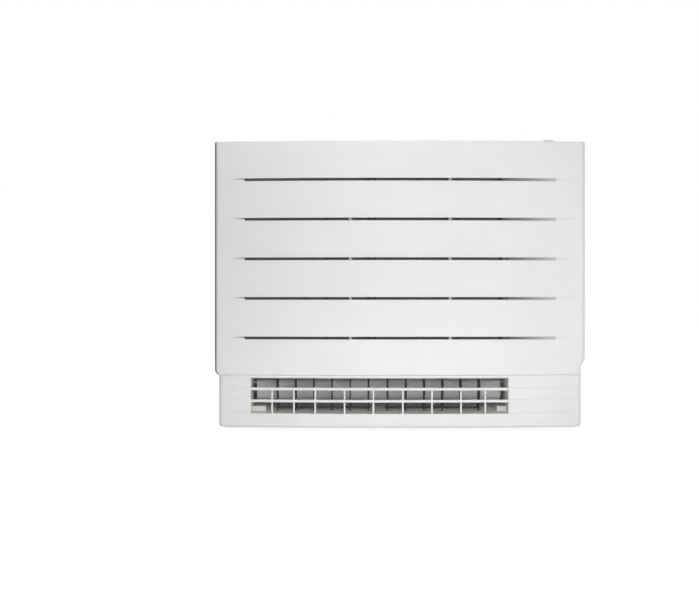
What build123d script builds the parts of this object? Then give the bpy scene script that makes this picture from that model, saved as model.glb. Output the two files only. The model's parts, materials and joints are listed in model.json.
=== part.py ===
from build123d import *
import math
import os

os.makedirs("parts", exist_ok=True)

# Floor standing air conditioner, in millimetres. +X is to the right seen from the front, +Y points
# to the wall and +Z is up. The origin is on the floor, under the middle of the object.

# Overall size
overall_w = 750.0
overall_d = 238.0
overall_h = 600.0
front_y = -overall_d / 2
back_y = overall_d / 2
bow_r = 3900.0              # plan radius of the bowed front

# Common wall thickness and clearances
wall = 2.5
seat_gap = 0.3              # between two pieces that only lie against each other
pin_gap = 0.08              # radial clearance of a pin that turns in its hole
thread_gap = 0.02           # between a screw's shank and its hole, threads not drawn
pin_sides = 6               # sides of small pins and their holes, enough at a few millimetres
tube_sides = 8              # sides of thin pipes and hoses
can_sides = 24              # sides of the small motors' cans
ring_sides = 30             # sides of the fan, its motor and the bell mouth
cut_over = 1.0              # how far a cutting solid runs past the face it cuts

# Front panel
panel_half = overall_w / 2
panel_z0 = 116.0
panel_z1 = overall_h - 13.5
panel_rear_y = front_y + 35.0        # rear edge of the panel's side and top returns
panel_side_r = 10.0
panel_edge = 2.2            # bevel round the panel's top and bottom edge
panel_lip_y = front_y + 19.0        # rear edge of the shallow bottom lip
panel_corner_r = 8.0        # lower left corner, seen from the front
panel_slant_z = (134.5, 145.5)

# Panel slots
slot_count = 5
slot_top_z = overall_h - 90.1
slot_pitch = 79.7
slot_h = 5.2
slot_bevel = 1.6
slot_half = 313.5
slot_tip = 354.0
slot_tip_h = 1.4
slot_groove_depth = 1.7
slot_blind_x = (206.0, 206.0, 219.0, 219.0, 219.0)
blind_depth = (6.0, 3.2)    # of the blind floor, at its inner and outer end
blind_wall = 1.6
tie_x = 100.0
tie_w = 7.0
tie_recess = 1.8
tie_depth = 8.0
tie_margin = 7.0

# Panel hinge
hinge_y = front_y + 10.0
hinge_z = 139.0
hinge_x = 150.0
hinge_arm = 4.0
hinge_pin_r = 2.0
hinge_pin_len = 6.0
hinge_ear = 4.0
hinge_eye_r = 3.6

# Body shell
body_half = panel_half - 8.5
cover_z0 = 10.0
deck_z = overall_h - 10.0
deck_y = front_y + 45.0              # front edge of the raised top deck
rim_y = front_y + 35.0               # front face of the intake frame
rim_z = overall_h - 22.0               # top of the intake frame
split_y = back_y - 59.0              # where the front cover meets the rear casing
deck_edge = 5.0
lower_z1 = 114.5
lower_side_r = 10.0
lower_top_edge = 2.4
lower_bottom_edge = 4.5
back_edge = 5.0
back_rim = 6.0               # the rim round the back plate

# Intake
intake_x = (-318.0, 204.0)
intake_z = (152.0, overall_h - 34.0)
intake_bar = 5.0
intake_rows = 3
filter_t = 5.0
filter_rim = 9.0
filter_rows = 3
filter_columns = 3
filter_rib = 2.4
net_t = 0.6

# Lower outlet
outlet_x = (-300.8, 217.7)
outlet_z = (38.0, 110.6)
bar_z = (87.4, 63.3)
bar_h = 5.6
bar_depth = (1.0, 7.0)
upright_x = (-258.0, -214.0, -171.0, -112.0, -54.0, 5.0, 63.5, 122.0, 171.0)
upright_w = 3.8
upright_depth = (3.0, 8.0)
grille_lip_h = 4.0
grille_flange = 8.0
groove_z = (90.2, 66.2, 39.1)
groove_h = 2.0
groove_depth = 0.9
groove_full_x = (-330.0, 303.0)

# Lower duct
duct_front_y = front_y + 8.0
duct_wall = 2.5
duct_ceiling = 1.2
duct_front_gap = 8.5        # depth behind the front where the duct starts
duct_floor_z = (37.0, 43.5)     # at the mouth and where the floor starts to curve up
duct_turn_y = front_y + 69.0
duct_curve_top = 128.0
block_z = 50.0
block_w = (28.0, 19.0)          # left and right bearing blocks
block_y = (front_y + 40.0, front_y + 80.0)

# Lower vanes
vane_group = 6
vane_first_x = (-248.5, -24.5)
vane_pitch = (37.0, 37.2)
vane_t = 1.8
vane_axis_y = front_y + 43.0
vane_top_z = 106.5
vane_foot_z = 46.0
vane_pin_r = 1.6
vane_pin_embed = 5.0
link_axis_y = vane_axis_y + 18.0
link_z = (44.6, 47.4)
link_w = 6.0
link_end = 4.5
link_pin_r = 1.3

# Lower shutter
shutter_end_gap = 7.5
shutter_z = (61.0, 101.0)
shutter_edge_y = front_y + 81.0
shutter_crest_y = front_y + 69.0
shutter_t = 2.0
shutter_axis_y = front_y + 86.0
shutter_axis_z = 96.0
axle_r = 3.0

# Fan chamber
fan_x = -41.5
fan_z = 0.55 * overall_h
fan_r = 145.0
fan_rear_y = back_y - 83.0
fan_front_y = front_y + 79.0
fan_plate = 2.0
fan_inlet_r = 106.0
fan_shroud_rear_y = front_y + 99.0
fan_hub_r = 62.0
fan_hub_bevel = 7.0
fan_eye_r = 118.0               # where the inlet's flare meets the flat front ring
fan_cup_y = back_y - 123.0
fan_blades = 7
blade_t = 2.4
blade_facets = 4                # flat steps along a blade's curve
blade_inner_r = 88.0
blade_tip_gap = 1.0             # the tips stop this far inside the rim
blade_sweep = 42.0
scroll_z = (128.0, overall_h - 40.0)
scroll_bend_z = (160.0, overall_h - 100.0)
scroll_throat = 180.0           # from the fan's axis to the scroll wall
scroll_front_y = front_y + 73.5
mouth_plate = 2.5
mouth_r = (112.0, 95.0)
mouth_reach = 12.0
mouth_boss = 11.0
mouth_screw_z = (scroll_z[0] + 14.0, scroll_z[1] - 14.0)

# Fan motor
shaft_r = 4.0
shaft_y = (fan_cup_y - 14.0, fan_cup_y + 48.0)
motor_r = 47.0
motor_y = (fan_cup_y + 16.0, back_y - 57.0)
motor_boss_r = 14.0
motor_ear = (58.0, 11.0)        # reach from the axis and half width
motor_ear_t = 3.0
motor_screw_r = 52.5
bracket_half = 74.0
bracket_t = 2.5
bracket_leg_w = 22.0
hub_boss_r = 11.0
hub_boss_len = 9.0
nut_across = 14.0
nut_t = 6.5

# Heat exchanger
coil_x = (-292.0, 196.0)
coil_y = (front_y + 42.0, front_y + 64.0)
coil_z = (124.0, overall_h - 42.0)
fin_count = 30
fin_t = 0.8
end_plate_t = 1.2
end_plate_flange = 2.0
sensor_r = 3.0
sensor_half = 12.0
tube_r = 3.5
tube_rows = 12
tube_return = 14.0
pipe_r = (4.76, 3.18)           # gas and liquid pipe
pipe_x = (246.0, 226.0)
pipe_bend_r = (20.0, 11.0)
pipe_exit_z = (76.0, 54.0)
pipe_end_y = back_y - 15.0
flare_across = (22.0, 17.0)
flare_len = 14.0

# Drain
pan_x = (-306.0, 210.0)
pan_y = (front_y + 37.8, front_y + 68.4)
pan_z = (113.2, 134.0)
pan_wall = 1.8
pan_fall = 3.0
spout_r = 9.0
hose_bore_r = 7.0
spout_bore_r = 4.5
spout_len = 8.0
drain_x = 30.5 - body_half
drain_z = 48.0
drain_bend_r = 22.0
drain_end_y = back_y - 11.0
drain_cuff = 32.0
drain_notch = 24.0           # the back plate is cut away this far round the hose

# Upper outlet
top_x = (-300.0, 217.0)
top_y = (front_y + 67.0, front_y + 137.0)
throat_wall = 2.5
throat_rib_count = 7
throat_rib_t = 1.8
roof_z = overall_h - 100.0
throat_back_gap = 1.5           # room for the flap's rear edge as it swings
flap_t = 3.0
flap_gap = 1.5
flap_axis_y = top_y[1] - 7.5
flap_axis_z = deck_z - 5.8
flap_pin_r = 1.8
flap_lug = 3.0
flap_sweep = 11.0               # the duct's inner edges stay this far under the flap's axis
flap_crown = 1.2

# Electrical parts
ebox_x = (body_half - 110.5, body_half - 4.4)
ebox_y = (front_y + 53.0, front_y + 111.0)
ebox_z = (overall_h - 270.0, overall_h - 44.0)
ebox_lug_z = (overall_h - 92.0, overall_h - 52.0)
ebox_lug_foot = 14.0
sheet = 1.2
board_t = 1.6
standoff_r = 3.0

# Pod on the deck
pod_x = (body_half - 69.1, body_half - 44.1)
pod_y = (front_y + 77.0, front_y + 113.0)
pod_h = 8.4
pod_corner = 4.0
button_r = 6.0
button_y = front_y + 102.0
button_stem_r = 3.0

# Pipe exit and wall screws in the back wall
exit_x = (208.0, 322.0)
exit_z = (34.0, 104.0)
exit_r = 8.0
screw_hole_r = 2.75
screw_span_x = 2 * body_half - 93.0
screw_span_z = overall_h - 160.0
screw_mid_z = overall_h - 260.0
base_half = body_half - 6.5
base_front_y = back_y - 132.0
foot_rib = 3.0

# Steppers and screws
stepper_r = 14.0
stepper_len = 19.0
stepper_ear = 21.0
stepper_offset = 8.0            # the output shaft sits this far above the can's middle
screw_across = 7.0
screw_head_h = 2.2
screw_shank = 3.2
tongue_x = body_half - 66.5
tongue_half = 15.0
tongue_y = (split_y - 16.0, split_y + 22.0)
casing_screw_y = split_y + 11.0


def box(x0, x1, y0, y1, z0, z1):
    """A block between two opposite corners."""
    return Pos(x0, y0, z0) * Box(x1 - x0, y1 - y0, z1 - z0, align=(Align.MIN, Align.MIN, Align.MIN))


def rod_y(x, y0, y1, z, r):
    """A round bar along Y."""
    seat = (Align.CENTER, Align.CENTER, Align.MIN)
    return Pos(x, y0, z) * Rot(-90, 0, 0) * Cylinder(r, y1 - y0, align=seat)


def small_bar(start, direction, length, r, hole=False, sides=pin_sides):
    """A thin round bar drawn with few sides: inside its radius as a pin, outside it as a hole."""
    plane = Plane(origin=start, z_dir=direction)
    return extrude(plane * RegularPolygon(r, sides, major_radius=not hole), amount=length)


def axle(x0, x1, y, z, r, hole=False):
    """A thin bar along X, with a corner straight up."""
    return small_bar((x0, y, z), (1, 0, 0), x1 - x0, r, hole)


def screw(place, direction, length):
    """Hex-head screw whose head lies on a face at place and whose shank runs along direction."""
    plane = Plane(origin=place, z_dir=direction)
    head = extrude(plane * RegularPolygon(screw_across / 2, 6, major_radius=False), amount=-screw_head_h)
    return head + extrude(plane * RegularPolygon(screw_shank / 2, 6), amount=length)


def screw_holes(places, direction, length):
    """Cutters for the shanks of screws."""
    section = RegularPolygon(screw_shank / 2 + thread_gap, 6)
    return [extrude(Plane(origin=place, z_dir=direction) * section, amount=length) for place in places]


def mouth_screw_places():
    """Where the bell mouth is screwed to the scroll walls."""
    y = scroll_front_y - seat_gap - mouth_plate
    reach = mouth_boss / 2
    return [(x, y, z) for z in mouth_screw_z for x in (top_x[0] + reach, top_x[1] - reach)]


def motor_screw_places():
    """Where the motor's ears are screwed to the bracket."""
    y = motor_y[1] - motor_ear_t
    return [(fan_x + dx * motor_screw_r, y, fan_z + dz * motor_screw_r)
            for dx, dz in ((1, 0), (-1, 0), (0, 1), (0, -1))]


def casing_screw_places():
    """Where the rear casing is screwed to the cover's tongues."""
    return [(side * tongue_x, casing_screw_y, deck_z) for side in (-1, 1)]


def side_plate(points, x0, x1):
    """A plate with an outline of (y, z) points, between two values of x."""
    face = Face(Wire.make_polygon([Vector(x0, y, z) for y, z in points]))
    return extrude(face, amount=x1 - x0, dir=(1, 0, 0))


def plan_plate(points, z0, z1):
    """A plate with an outline of (x, y) points, between two values of z."""
    face = Face(Wire.make_polygon([Vector(x, y, z0) for x, y in points]))
    return extrude(face, amount=z1 - z0, dir=(0, 0, 1))


def bow_y(x, depth=0.0):
    """Y of the bowed front at x, or of the surface parallel to it at a depth behind it."""
    return front_y + bow_r - math.sqrt((bow_r - depth) ** 2 - x ** 2)


def bowed(profile, x0, x1):
    """A profile of (depth, z) points carried round the bow of the front from x0 to x1."""
    axis = Axis((0, front_y + bow_r, 0), (0, 0, 1))
    start, end = [math.degrees(math.asin(x / bow_r)) for x in (x0, x1)]
    face = Face(Wire.make_polygon([Vector(0, front_y + depth, z) for depth, z in profile]))
    return revolve(face.rotate(axis, start), axis=axis, revolution_arc=end - start)


def band(depth0, depth1, z0, z1, x0, x1):
    """A bowed bar of rectangular section."""
    return bowed([(depth0, z0), (depth1, z0), (depth1, z1), (depth0, z1)], x0, x1)


def bowed_block(half, depth, rear_y, z0, z1, corner):
    """A block with a bowed front and rounded front corners, flat behind."""
    left = (-half, bow_y(half, depth))
    right = (half, bow_y(half, depth))
    front = ThreePointArc(left, (0, front_y + depth), right)
    rest = Polyline(right, (half, rear_y), (-half, rear_y), left)
    plan = make_face(front.edges() + rest.edges())
    plan = fillet([v for v in plan.vertices() if v.Y < rear_y - cut_over], corner)
    return extrude(Pos(0, 0, z0) * plan, amount=z1 - z0)


def fading_groove(z, x_full, x_tip, height, depth):
    """A cutter for a groove that narrows and runs out between x_full and x_tip."""
    ends = []
    for x, h, d in ((x_full, height, depth), (x_tip, slot_tip_h, 0.1)):
        y0, y1 = bow_y(x) - cut_over, bow_y(x) + d
        corners = [(y0, z - h / 2), (y1, z - h / 2), (y1, z + h / 2), (y0, z + h / 2)]
        ends.append(Face(Wire.make_polygon([Vector(x, y, zz) for y, zz in corners])))
    return loft(ends, ruled=True)


def slot_z(index):
    """Height of a panel slot's middle, counted from the top."""
    return slot_top_z - index * slot_pitch


def make_front_panel():
    """Bowed tray with five slots, tie ribs, blind troughs and two hinge arms."""
    block = bowed_block(panel_half, 0, panel_rear_y, panel_z0, panel_z1, panel_side_r)
    rims = [e for e in block.edges() if e.center().Y < panel_rear_y - cut_over
            and min(abs(e.center().Z - panel_z0), abs(e.center().Z - panel_z1)) < 0.01]
    block = chamfer(rims, panel_edge)
    hollow = bowed_block(panel_half - wall, wall, panel_rear_y + cut_over,
                         panel_z0 + wall, panel_z1 - wall, panel_side_r - wall)
    panel = block - hollow
    panel -= box(-panel_half, panel_half, panel_lip_y, panel_rear_y + cut_over,
                 panel_z0 - cut_over, panel_z0 + wall)
    for index in range(slot_count):
        panel = cut_slot(panel, index)
    for side, top in ((-1, slot_z(1)), (1, slot_z(0))):
        y = bow_y(tie_x)
        panel += box(side * tie_x - tie_w / 2, side * tie_x + tie_w / 2, y + tie_recess, y + tie_depth,
                     slot_z(slot_count - 1) - tie_margin, top + tie_margin)
    # The lower left corner is rounded and the lower right one is cut away at a slant.
    slant = [(panel_half + cut_over, panel_slant_z[1] + cut_over),
             (body_half, panel_slant_z[0]), (body_half, panel_z0 - cut_over),
             (panel_half + cut_over, panel_z0 - cut_over)]
    face = Face(Wire.make_polygon([Vector(x, panel_rear_y + cut_over, z) for x, z in slant]))
    panel -= extrude(face, amount=-front_y + panel_rear_y + 2 * cut_over, dir=(0, -1, 0))
    corner = box(-panel_half - cut_over, -panel_half + panel_corner_r, front_y, panel_rear_y + cut_over,
                 panel_z0 - cut_over, panel_z0 + panel_corner_r)
    corner -= rod_y(-panel_half + panel_corner_r, front_y - cut_over, panel_rear_y + 2 * cut_over,
                    panel_z0 + panel_corner_r, panel_corner_r)
    panel -= corner
    for side in (-1, 1):
        panel += hinge_arm_of(side)
    return panel


def cut_slot(panel, index):
    """One slot: bevelled lower lip, open part, blind part over a trough, and a groove at each end."""
    z = slot_z(index)
    low, high = z - slot_h / 2, z + slot_h / 2
    blind_x = slot_blind_x[index]
    panel += band(wall - 0.5, blind_depth[0] + blind_wall, low - blind_wall - 1, high + blind_wall + 1,
                  blind_x - blind_wall, slot_half + blind_wall)
    panel -= band(-cut_over, wall + cut_over, low, high, -slot_half, blind_x - 4 * blind_wall)
    panel -= band(-cut_over, blind_depth[0], low, high, blind_x - 5 * blind_wall, blind_x + 0.1)
    floor = [(blind_x, bow_y(blind_x) - cut_over), (slot_half, bow_y(slot_half) - cut_over),
             (slot_half, bow_y(slot_half) + blind_depth[1]), (blind_x, bow_y(blind_x) + blind_depth[0])]
    panel -= plan_plate(floor, low, high)
    panel -= bowed([(-cut_over, z), (slot_bevel, z), (slot_bevel, low), (0, low - slot_bevel),
                    (-cut_over, low - slot_bevel)], -slot_half, slot_half)
    for side in (-1, 1):
        panel -= fading_groove(z, side * slot_half, side * slot_tip, slot_h, slot_groove_depth)
    return panel


def hinge_arm_of(side):
    """Arm behind the panel that carries one hinge pin."""
    x0 = side * hinge_x - hinge_arm / 2
    root_y = bow_y(hinge_x, wall) - 0.5
    arm = box(x0, x0 + hinge_arm, root_y, hinge_y + hinge_eye_r,
              hinge_z - hinge_eye_r, hinge_z + hinge_eye_r)
    pin_x = side * (hinge_x + hinge_arm / 2 + hinge_pin_len / 2)
    return arm + axle(pin_x - hinge_pin_len / 2, pin_x + hinge_pin_len / 2, hinge_y, hinge_z, hinge_pin_r)


def hinge_ear_of(side):
    """Ear on the front cover that carries one hinge pin of the panel."""
    near = hinge_x + hinge_arm / 2 + seat_gap
    x0, x1 = sorted((side * near, side * (near + hinge_ear)))
    ear = box(x0, x1, hinge_y - hinge_eye_r, rim_y + wall / 2,
              hinge_z - hinge_eye_r, hinge_z + hinge_eye_r)
    corner = [e for e in ear.edges().filter_by(Axis.X) if e.center().Y < hinge_y]
    ear = chamfer(corner, hinge_eye_r / 2)
    return ear - axle(x0 - cut_over, x1 + cut_over, hinge_y, hinge_z, hinge_pin_r + pin_gap, hole=True)


def cover_outside():
    """Outer form of the front cover, without its hollow."""
    side = [(split_y - seat_gap, cover_z0), (rim_y, cover_z0), (rim_y, rim_z), (deck_y, rim_z),
            (deck_y, deck_z), (split_y - seat_gap, deck_z)]
    body = side_plate(side, -body_half, body_half)
    deck_edges = [e for e in body.edges() if abs(e.center().Z - deck_z) < 0.01
                  and abs(abs(e.center().X) - body_half) < 0.01]
    body = chamfer(deck_edges, deck_edge)
    lower = bowed_block(body_half, 0, rim_y + wall, cover_z0, lower_z1, lower_side_r)
    top = [e for e in lower.edges() if abs(e.center().Z - lower_z1) < 0.01 and e.center().Y < rim_y - 2]
    lower = chamfer(top, lower_top_edge)
    bottom = [e for e in lower.edges() if abs(e.center().Z - cover_z0) < 0.01 and e.center().Y < rim_y - 2]
    lower = chamfer(bottom, lower_bottom_edge)
    return body + lower


def make_front_cover():
    """Shell behind and below the panel: intake frame, deck, sides and the bowed lower front."""
    cover = cover_outside()
    inside = [(split_y + cut_over, cover_z0 + wall), (rim_y + wall, cover_z0 + wall),
              (rim_y + wall, rim_z - wall), (deck_y + wall, rim_z - wall),
              (deck_y + wall, deck_z - wall), (split_y + cut_over, deck_z - wall)]
    cover -= side_plate(inside, -body_half + wall, body_half - wall)
    cover -= bowed_block(body_half - wall, wall, rim_y + 2 * wall, cover_z0 + wall, lower_z1 - wall,
                         lower_side_r - wall)
    cover -= box(outlet_x[0], outlet_x[1], front_y - cut_over, rim_y + wall, *outlet_z)
    cover -= box(*intake_x, rim_y - cut_over, rim_y + wall + cut_over, *intake_z)
    cover -= box(*top_x, *top_y, deck_z - wall - cut_over, deck_z + cut_over)
    middle = sum(intake_x) / 2
    cover += box(middle - intake_bar, middle + intake_bar, rim_y, rim_y + wall, *intake_z)
    for row in range(1, intake_rows + 1):
        z = intake_z[0] + row * (intake_z[1] - intake_z[0]) / (intake_rows + 1)
        cover += box(*intake_x, rim_y, rim_y + wall, z - intake_bar / 2, z + intake_bar / 2)
    for z in groove_z:
        for inner, full, tip in ((outlet_x[0], groove_full_x[0], -slot_tip),
                                 (outlet_x[1], groove_full_x[1], slot_tip)):
            ends = sorted((inner, full))
            cover -= bowed([(-cut_over, z + groove_h / 2), (0, z + groove_h / 2), (groove_depth, z),
                            (0, z - groove_h / 2), (-cut_over, z - groove_h / 2)], *ends)
            cover -= fading_groove(z, full, tip, groove_h / 2, groove_depth / 2)
    for side in (-1, 1):
        cover += hinge_ear_of(side)
    for side in (-1, 1):
        x0, x1 = side * tongue_x - tongue_half, side * tongue_x + tongue_half
        under = deck_z - wall
        cover += box(x0, x1, tongue_y[0], split_y - seat_gap, under - wall, under)
        cover += box(x0, x1, tongue_y[0], tongue_y[1], under - wall, under - seat_gap)
    cover -= screw_holes(casing_screw_places(), (0, 0, -1), 4 * wall)
    stem = (sum(pod_x) / 2, button_y, deck_z - 2 * wall)
    return cover - small_bar(stem, (0, 0, 1), 3 * wall, button_stem_r + seat_gap, hole=True)


def make_rear_casing():
    """Back shell with a deep base and a rim that the back plate is set into."""
    shell = box(-body_half, body_half, split_y, back_y, cover_z0, deck_z)
    back_edges = [e for e in shell.edges() if abs(e.center().Y - back_y) < 0.01
                  and e.center().Z > cover_z0 + 1]
    shell = chamfer(back_edges, back_edge)
    top_edges = [e for e in shell.edges() if abs(e.center().Z - deck_z) < 0.01
                 and abs(abs(e.center().X) - body_half) < 0.01]
    shell = chamfer(top_edges, deck_edge - 0.1)
    shell += box(-base_half, base_half, base_front_y, back_y, 0, cover_z0)
    shell -= box(-body_half + wall, body_half - wall, split_y - cut_over, back_y - foot_rib,
                 cover_z0 + wall, deck_z - wall)
    shell -= box(-base_half + foot_rib, base_half - foot_rib, base_front_y + foot_rib, back_y - foot_rib,
                 wall, cover_z0 + 2 * wall)
    reach = body_half - back_rim
    shell -= box(-reach, reach, back_y - 2 * foot_rib, back_y + cut_over,
                 cover_z0 + back_rim, deck_z - back_rim)
    return shell - screw_holes(casing_screw_places(), (0, 0, -1), 4 * wall)


def make_back_plate():
    """Plate set into the casing's rim: pipe exit, a corner notch for the drain, wall screw holes."""
    reach = body_half - back_rim - seat_gap
    y0 = back_y - foot_rib
    plate = box(-reach, reach, y0, back_y, cover_z0 + back_rim + seat_gap, deck_z - back_rim - seat_gap)
    notch = box(-reach - exit_r, drain_x + drain_notch, y0 - cut_over, back_y + cut_over,
                cover_z0 - exit_r, drain_z + drain_notch)
    exit_cut = box(*exit_x, y0 - cut_over, back_y + cut_over, *exit_z)
    for cut in (exit_cut, notch):
        plate -= fillet(cut.edges().filter_by(Axis.Y), exit_r)
    for x in (-screw_span_x / 2, screw_span_x / 2):
        for z in (screw_mid_z - screw_span_z / 2, screw_mid_z + screw_span_z / 2):
            plate -= rod_y(x, y0 - cut_over, back_y + cut_over, z, screw_hole_r)
    return plate


def make_outlet_grille():
    """Two long bowed bars and nine uprights on a flange that lies behind the cover's front."""
    rear = wall + seat_gap
    x0, x1 = outlet_x
    z0, z1 = outlet_z
    ends = []
    for z in bar_z:
        ends.append(band(*bar_depth, z - bar_h / 2, z + bar_h / 2, x0 + seat_gap, x1 - seat_gap))
        ends.append(band(rear, bar_depth[1], z - bar_h / 2, z + bar_h / 2,
                         x0 - grille_flange, x1 + grille_flange))
    grille = ends[0] + ends[1:]
    for x in upright_x:
        grille += band(*upright_depth, z0 - grille_flange / 2, bar_z[0],
                       x - upright_w / 2, x + upright_w / 2)
    grille += band(rear, rear + wall, z0 - grille_flange, z0 - 0.4, x0 - grille_flange, x1 + grille_flange)
    grille += band(rear + 1, bar_depth[1], z1 - grille_lip_h, z1 - seat_gap, x0 - grille_flange,
                   x1 + grille_flange)
    for near, far in ((x0 - grille_flange, x0 - 0.4), (x1 + 0.4, x1 + grille_flange)):
        grille += band(rear, rear + wall, z0 - grille_flange, z1 - seat_gap, near, far)
    return grille


def floor_curve(drop=0.0):
    """The lower duct's floor in side view: a slope, then an arc that rises to the back wall.

    With a drop it is the line parallel to the floor, that far under it.
    """
    slope_from = Vector(0, duct_front_y, duct_floor_z[0])
    slope_to = Vector(0, duct_turn_y, duct_floor_z[1])
    end = Vector(0, back_y - foot_rib - seat_gap - duct_wall, duct_curve_top)
    along = (slope_to - slope_from).normalized()
    end_along = TangentArc(slope_to, end, tangent=along) % 1
    down, end_down = [way.cross(Vector(1, 0, 0)) * drop for way in (along, end_along)]
    turn = TangentArc(slope_to + down, end + end_down, tangent=along)
    return Line(slope_from + down, slope_to + down).edges() + turn.edges()


def curved_sheet(curves, thickness, x0, x1):
    """A sheet that follows curves drawn in the side view."""
    wire = Wire([edge for curve in curves for edge in curve.edges()])
    start = wire.position_at(0)
    across = wire.tangent_at(0).cross(Vector(1, 0, 0)).normalized() * thickness
    section = Face(Wire.make_polygon([start, start + across, start + across + Vector(x1 - x0, 0, 0),
                                      start + Vector(x1 - x0, 0, 0)]))
    return Pos(x0, 0, 0) * sweep(section, path=wire)


def make_outlet_duct():
    """Lower duct: side walls, floor that turns the air forward, ceiling and bearing blocks."""
    x0, x1 = outlet_x
    low, high = duct_floor_z[0], outlet_z[1]
    rear = back_y - foot_rib - seat_gap - duct_wall
    under = floor_curve(duct_wall)
    top = Polyline(under[-1] @ 1, (0, rear, duct_curve_top), (0, scroll_front_y, duct_curve_top - seat_gap),
                   (0, scroll_front_y, high + duct_ceiling), (0, duct_front_y, high + duct_ceiling),
                   under[0] @ 0)
    outside = Face(Wire(under + top.edges()))
    duct = extrude(Pos(x0 - duct_wall, 0, 0) * outside, amount=x1 - x0 + 2 * duct_wall, dir=(1, 0, 0))
    floor = floor_curve()
    top = Polyline(floor[-1] @ 1, (0, rear, duct_curve_top + cut_over),
                   (0, scroll_front_y, duct_curve_top + cut_over), (0, scroll_front_y, high),
                   (0, duct_front_y, high), floor[0] @ 0)
    inside = Face(Wire(floor + top.edges()))
    duct -= extrude(Pos(x0, 0, 0) * inside, amount=x1 - x0, dir=(1, 0, 0))
    duct -= axle(x0 - 2 * duct_wall, x1 + 2 * duct_wall, shutter_axis_y, shutter_axis_z,
                 axle_r + pin_gap, hole=True)
    duct += box(x0, x0 + block_w[0], *block_y, low, block_z)
    duct += box(x1 - block_w[1], x1, *block_y, low, block_z)
    for x in vane_places():
        start = (x, vane_axis_y, low - 2 * duct_wall)
        duct -= small_bar(start, (0, 0, 1), 4 * duct_wall, vane_pin_r + pin_gap, hole=True)
    ahead = band(-duct_front_gap, duct_front_gap, low - 4 * duct_wall, high + duct_wall,
                 x0 - 4 * duct_wall, x1 + 4 * duct_wall)
    return duct - ahead


def vane_places():
    """The x of all vane axes, left group first."""
    return [first + i * pitch for first, pitch in zip(vane_first_x, vane_pitch) for i in range(vane_group)]


def make_vane(x):
    """Standing vane with an arrow-shaped front edge, a foot pin and a rear tab with the link pin."""
    tab_z = link_z[1] + seat_gap
    back = vane_axis_y + 10.0
    outline = [(vane_axis_y + 14.0, vane_top_z), (vane_axis_y - 8.0, vane_top_z),
               (vane_axis_y - 23.0, vane_top_z - 9.5), (vane_axis_y - 22.0, vane_top_z - 20.5),
               (vane_axis_y - 11.0, vane_foot_z + 12.0), (vane_axis_y - 8.0, vane_foot_z),
               (back, vane_foot_z), (back, tab_z), (link_axis_y + 2.2, tab_z),
               (link_axis_y + 2.2, tab_z + 2.4), (back + 3.0, vane_foot_z + 11.0)]
    vane = side_plate(outline, x - vane_t / 2, x + vane_t / 2)
    floor_z = duct_floor_z[0]
    foot = vane_foot_z + vane_pin_embed - floor_z
    vane += small_bar((x, vane_axis_y, floor_z), (0, 0, 1), foot, vane_pin_r)
    low = link_z[0] - 0.6
    return vane + small_bar((x, link_axis_y, low), (0, 0, 1), tab_z + 1.2 - low, link_pin_r)


def make_link(places):
    """Flat bar that joins the link pins of one group of vanes."""
    x0, x1 = places[0] - link_end, places[-1] + link_end
    bar = box(x0, x1, link_axis_y - link_w / 2, link_axis_y + link_w / 2, *link_z)
    for x in places:
        start = (x, link_axis_y, link_z[0] - cut_over)
        through = link_z[1] - link_z[0] + 2 * cut_over
        bar -= small_bar(start, (0, 0, 1), through, link_pin_r + pin_gap, hole=True)
    return bar


def make_shutter():
    """Crowned flap that closes the lower duct, with an arm and an axle stub at each end."""
    x0, x1 = outlet_x[0] + shutter_end_gap, outlet_x[1] - shutter_end_gap
    middle_z = sum(shutter_z) / 2
    faces = []
    for inset in (0.0, shutter_t):
        faces.append(((shutter_edge_y + inset, shutter_z[0]), (shutter_crest_y + inset, middle_z),
                      (shutter_edge_y + inset, shutter_z[1])))
    front = ThreePointArc(*[(0, y, z) for y, z in faces[0]])
    rear = ThreePointArc(*[(0, y, z) for y, z in faces[1]])
    caps = [Line(front @ 1, rear @ 1), Line(rear @ 0, front @ 0)]
    section = make_face(front.edges() + rear.edges() + caps[0].edges() + caps[1].edges())
    blade = extrude(Pos(x0, 0, 0) * section, amount=x1 - x0, dir=(1, 0, 0))
    for near, far, outer in ((x0, x0 + 2 * shutter_t, outlet_x[0] - duct_wall),
                             (x1 - 2 * shutter_t, x1, outlet_x[1] + duct_wall)):
        arm = [(shutter_edge_y, shutter_z[1]), (shutter_crest_y + shutter_t, middle_z),
               (shutter_axis_y, shutter_axis_z - axle_r), (shutter_axis_y + axle_r, shutter_axis_z),
               (shutter_axis_y, shutter_z[1])]
        blade += side_plate(arm, near, far)
        ends = sorted((near if outer < near else far, outer))
        blade += axle(*ends, shutter_axis_y, shutter_axis_z, axle_r)
    return blade


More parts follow.
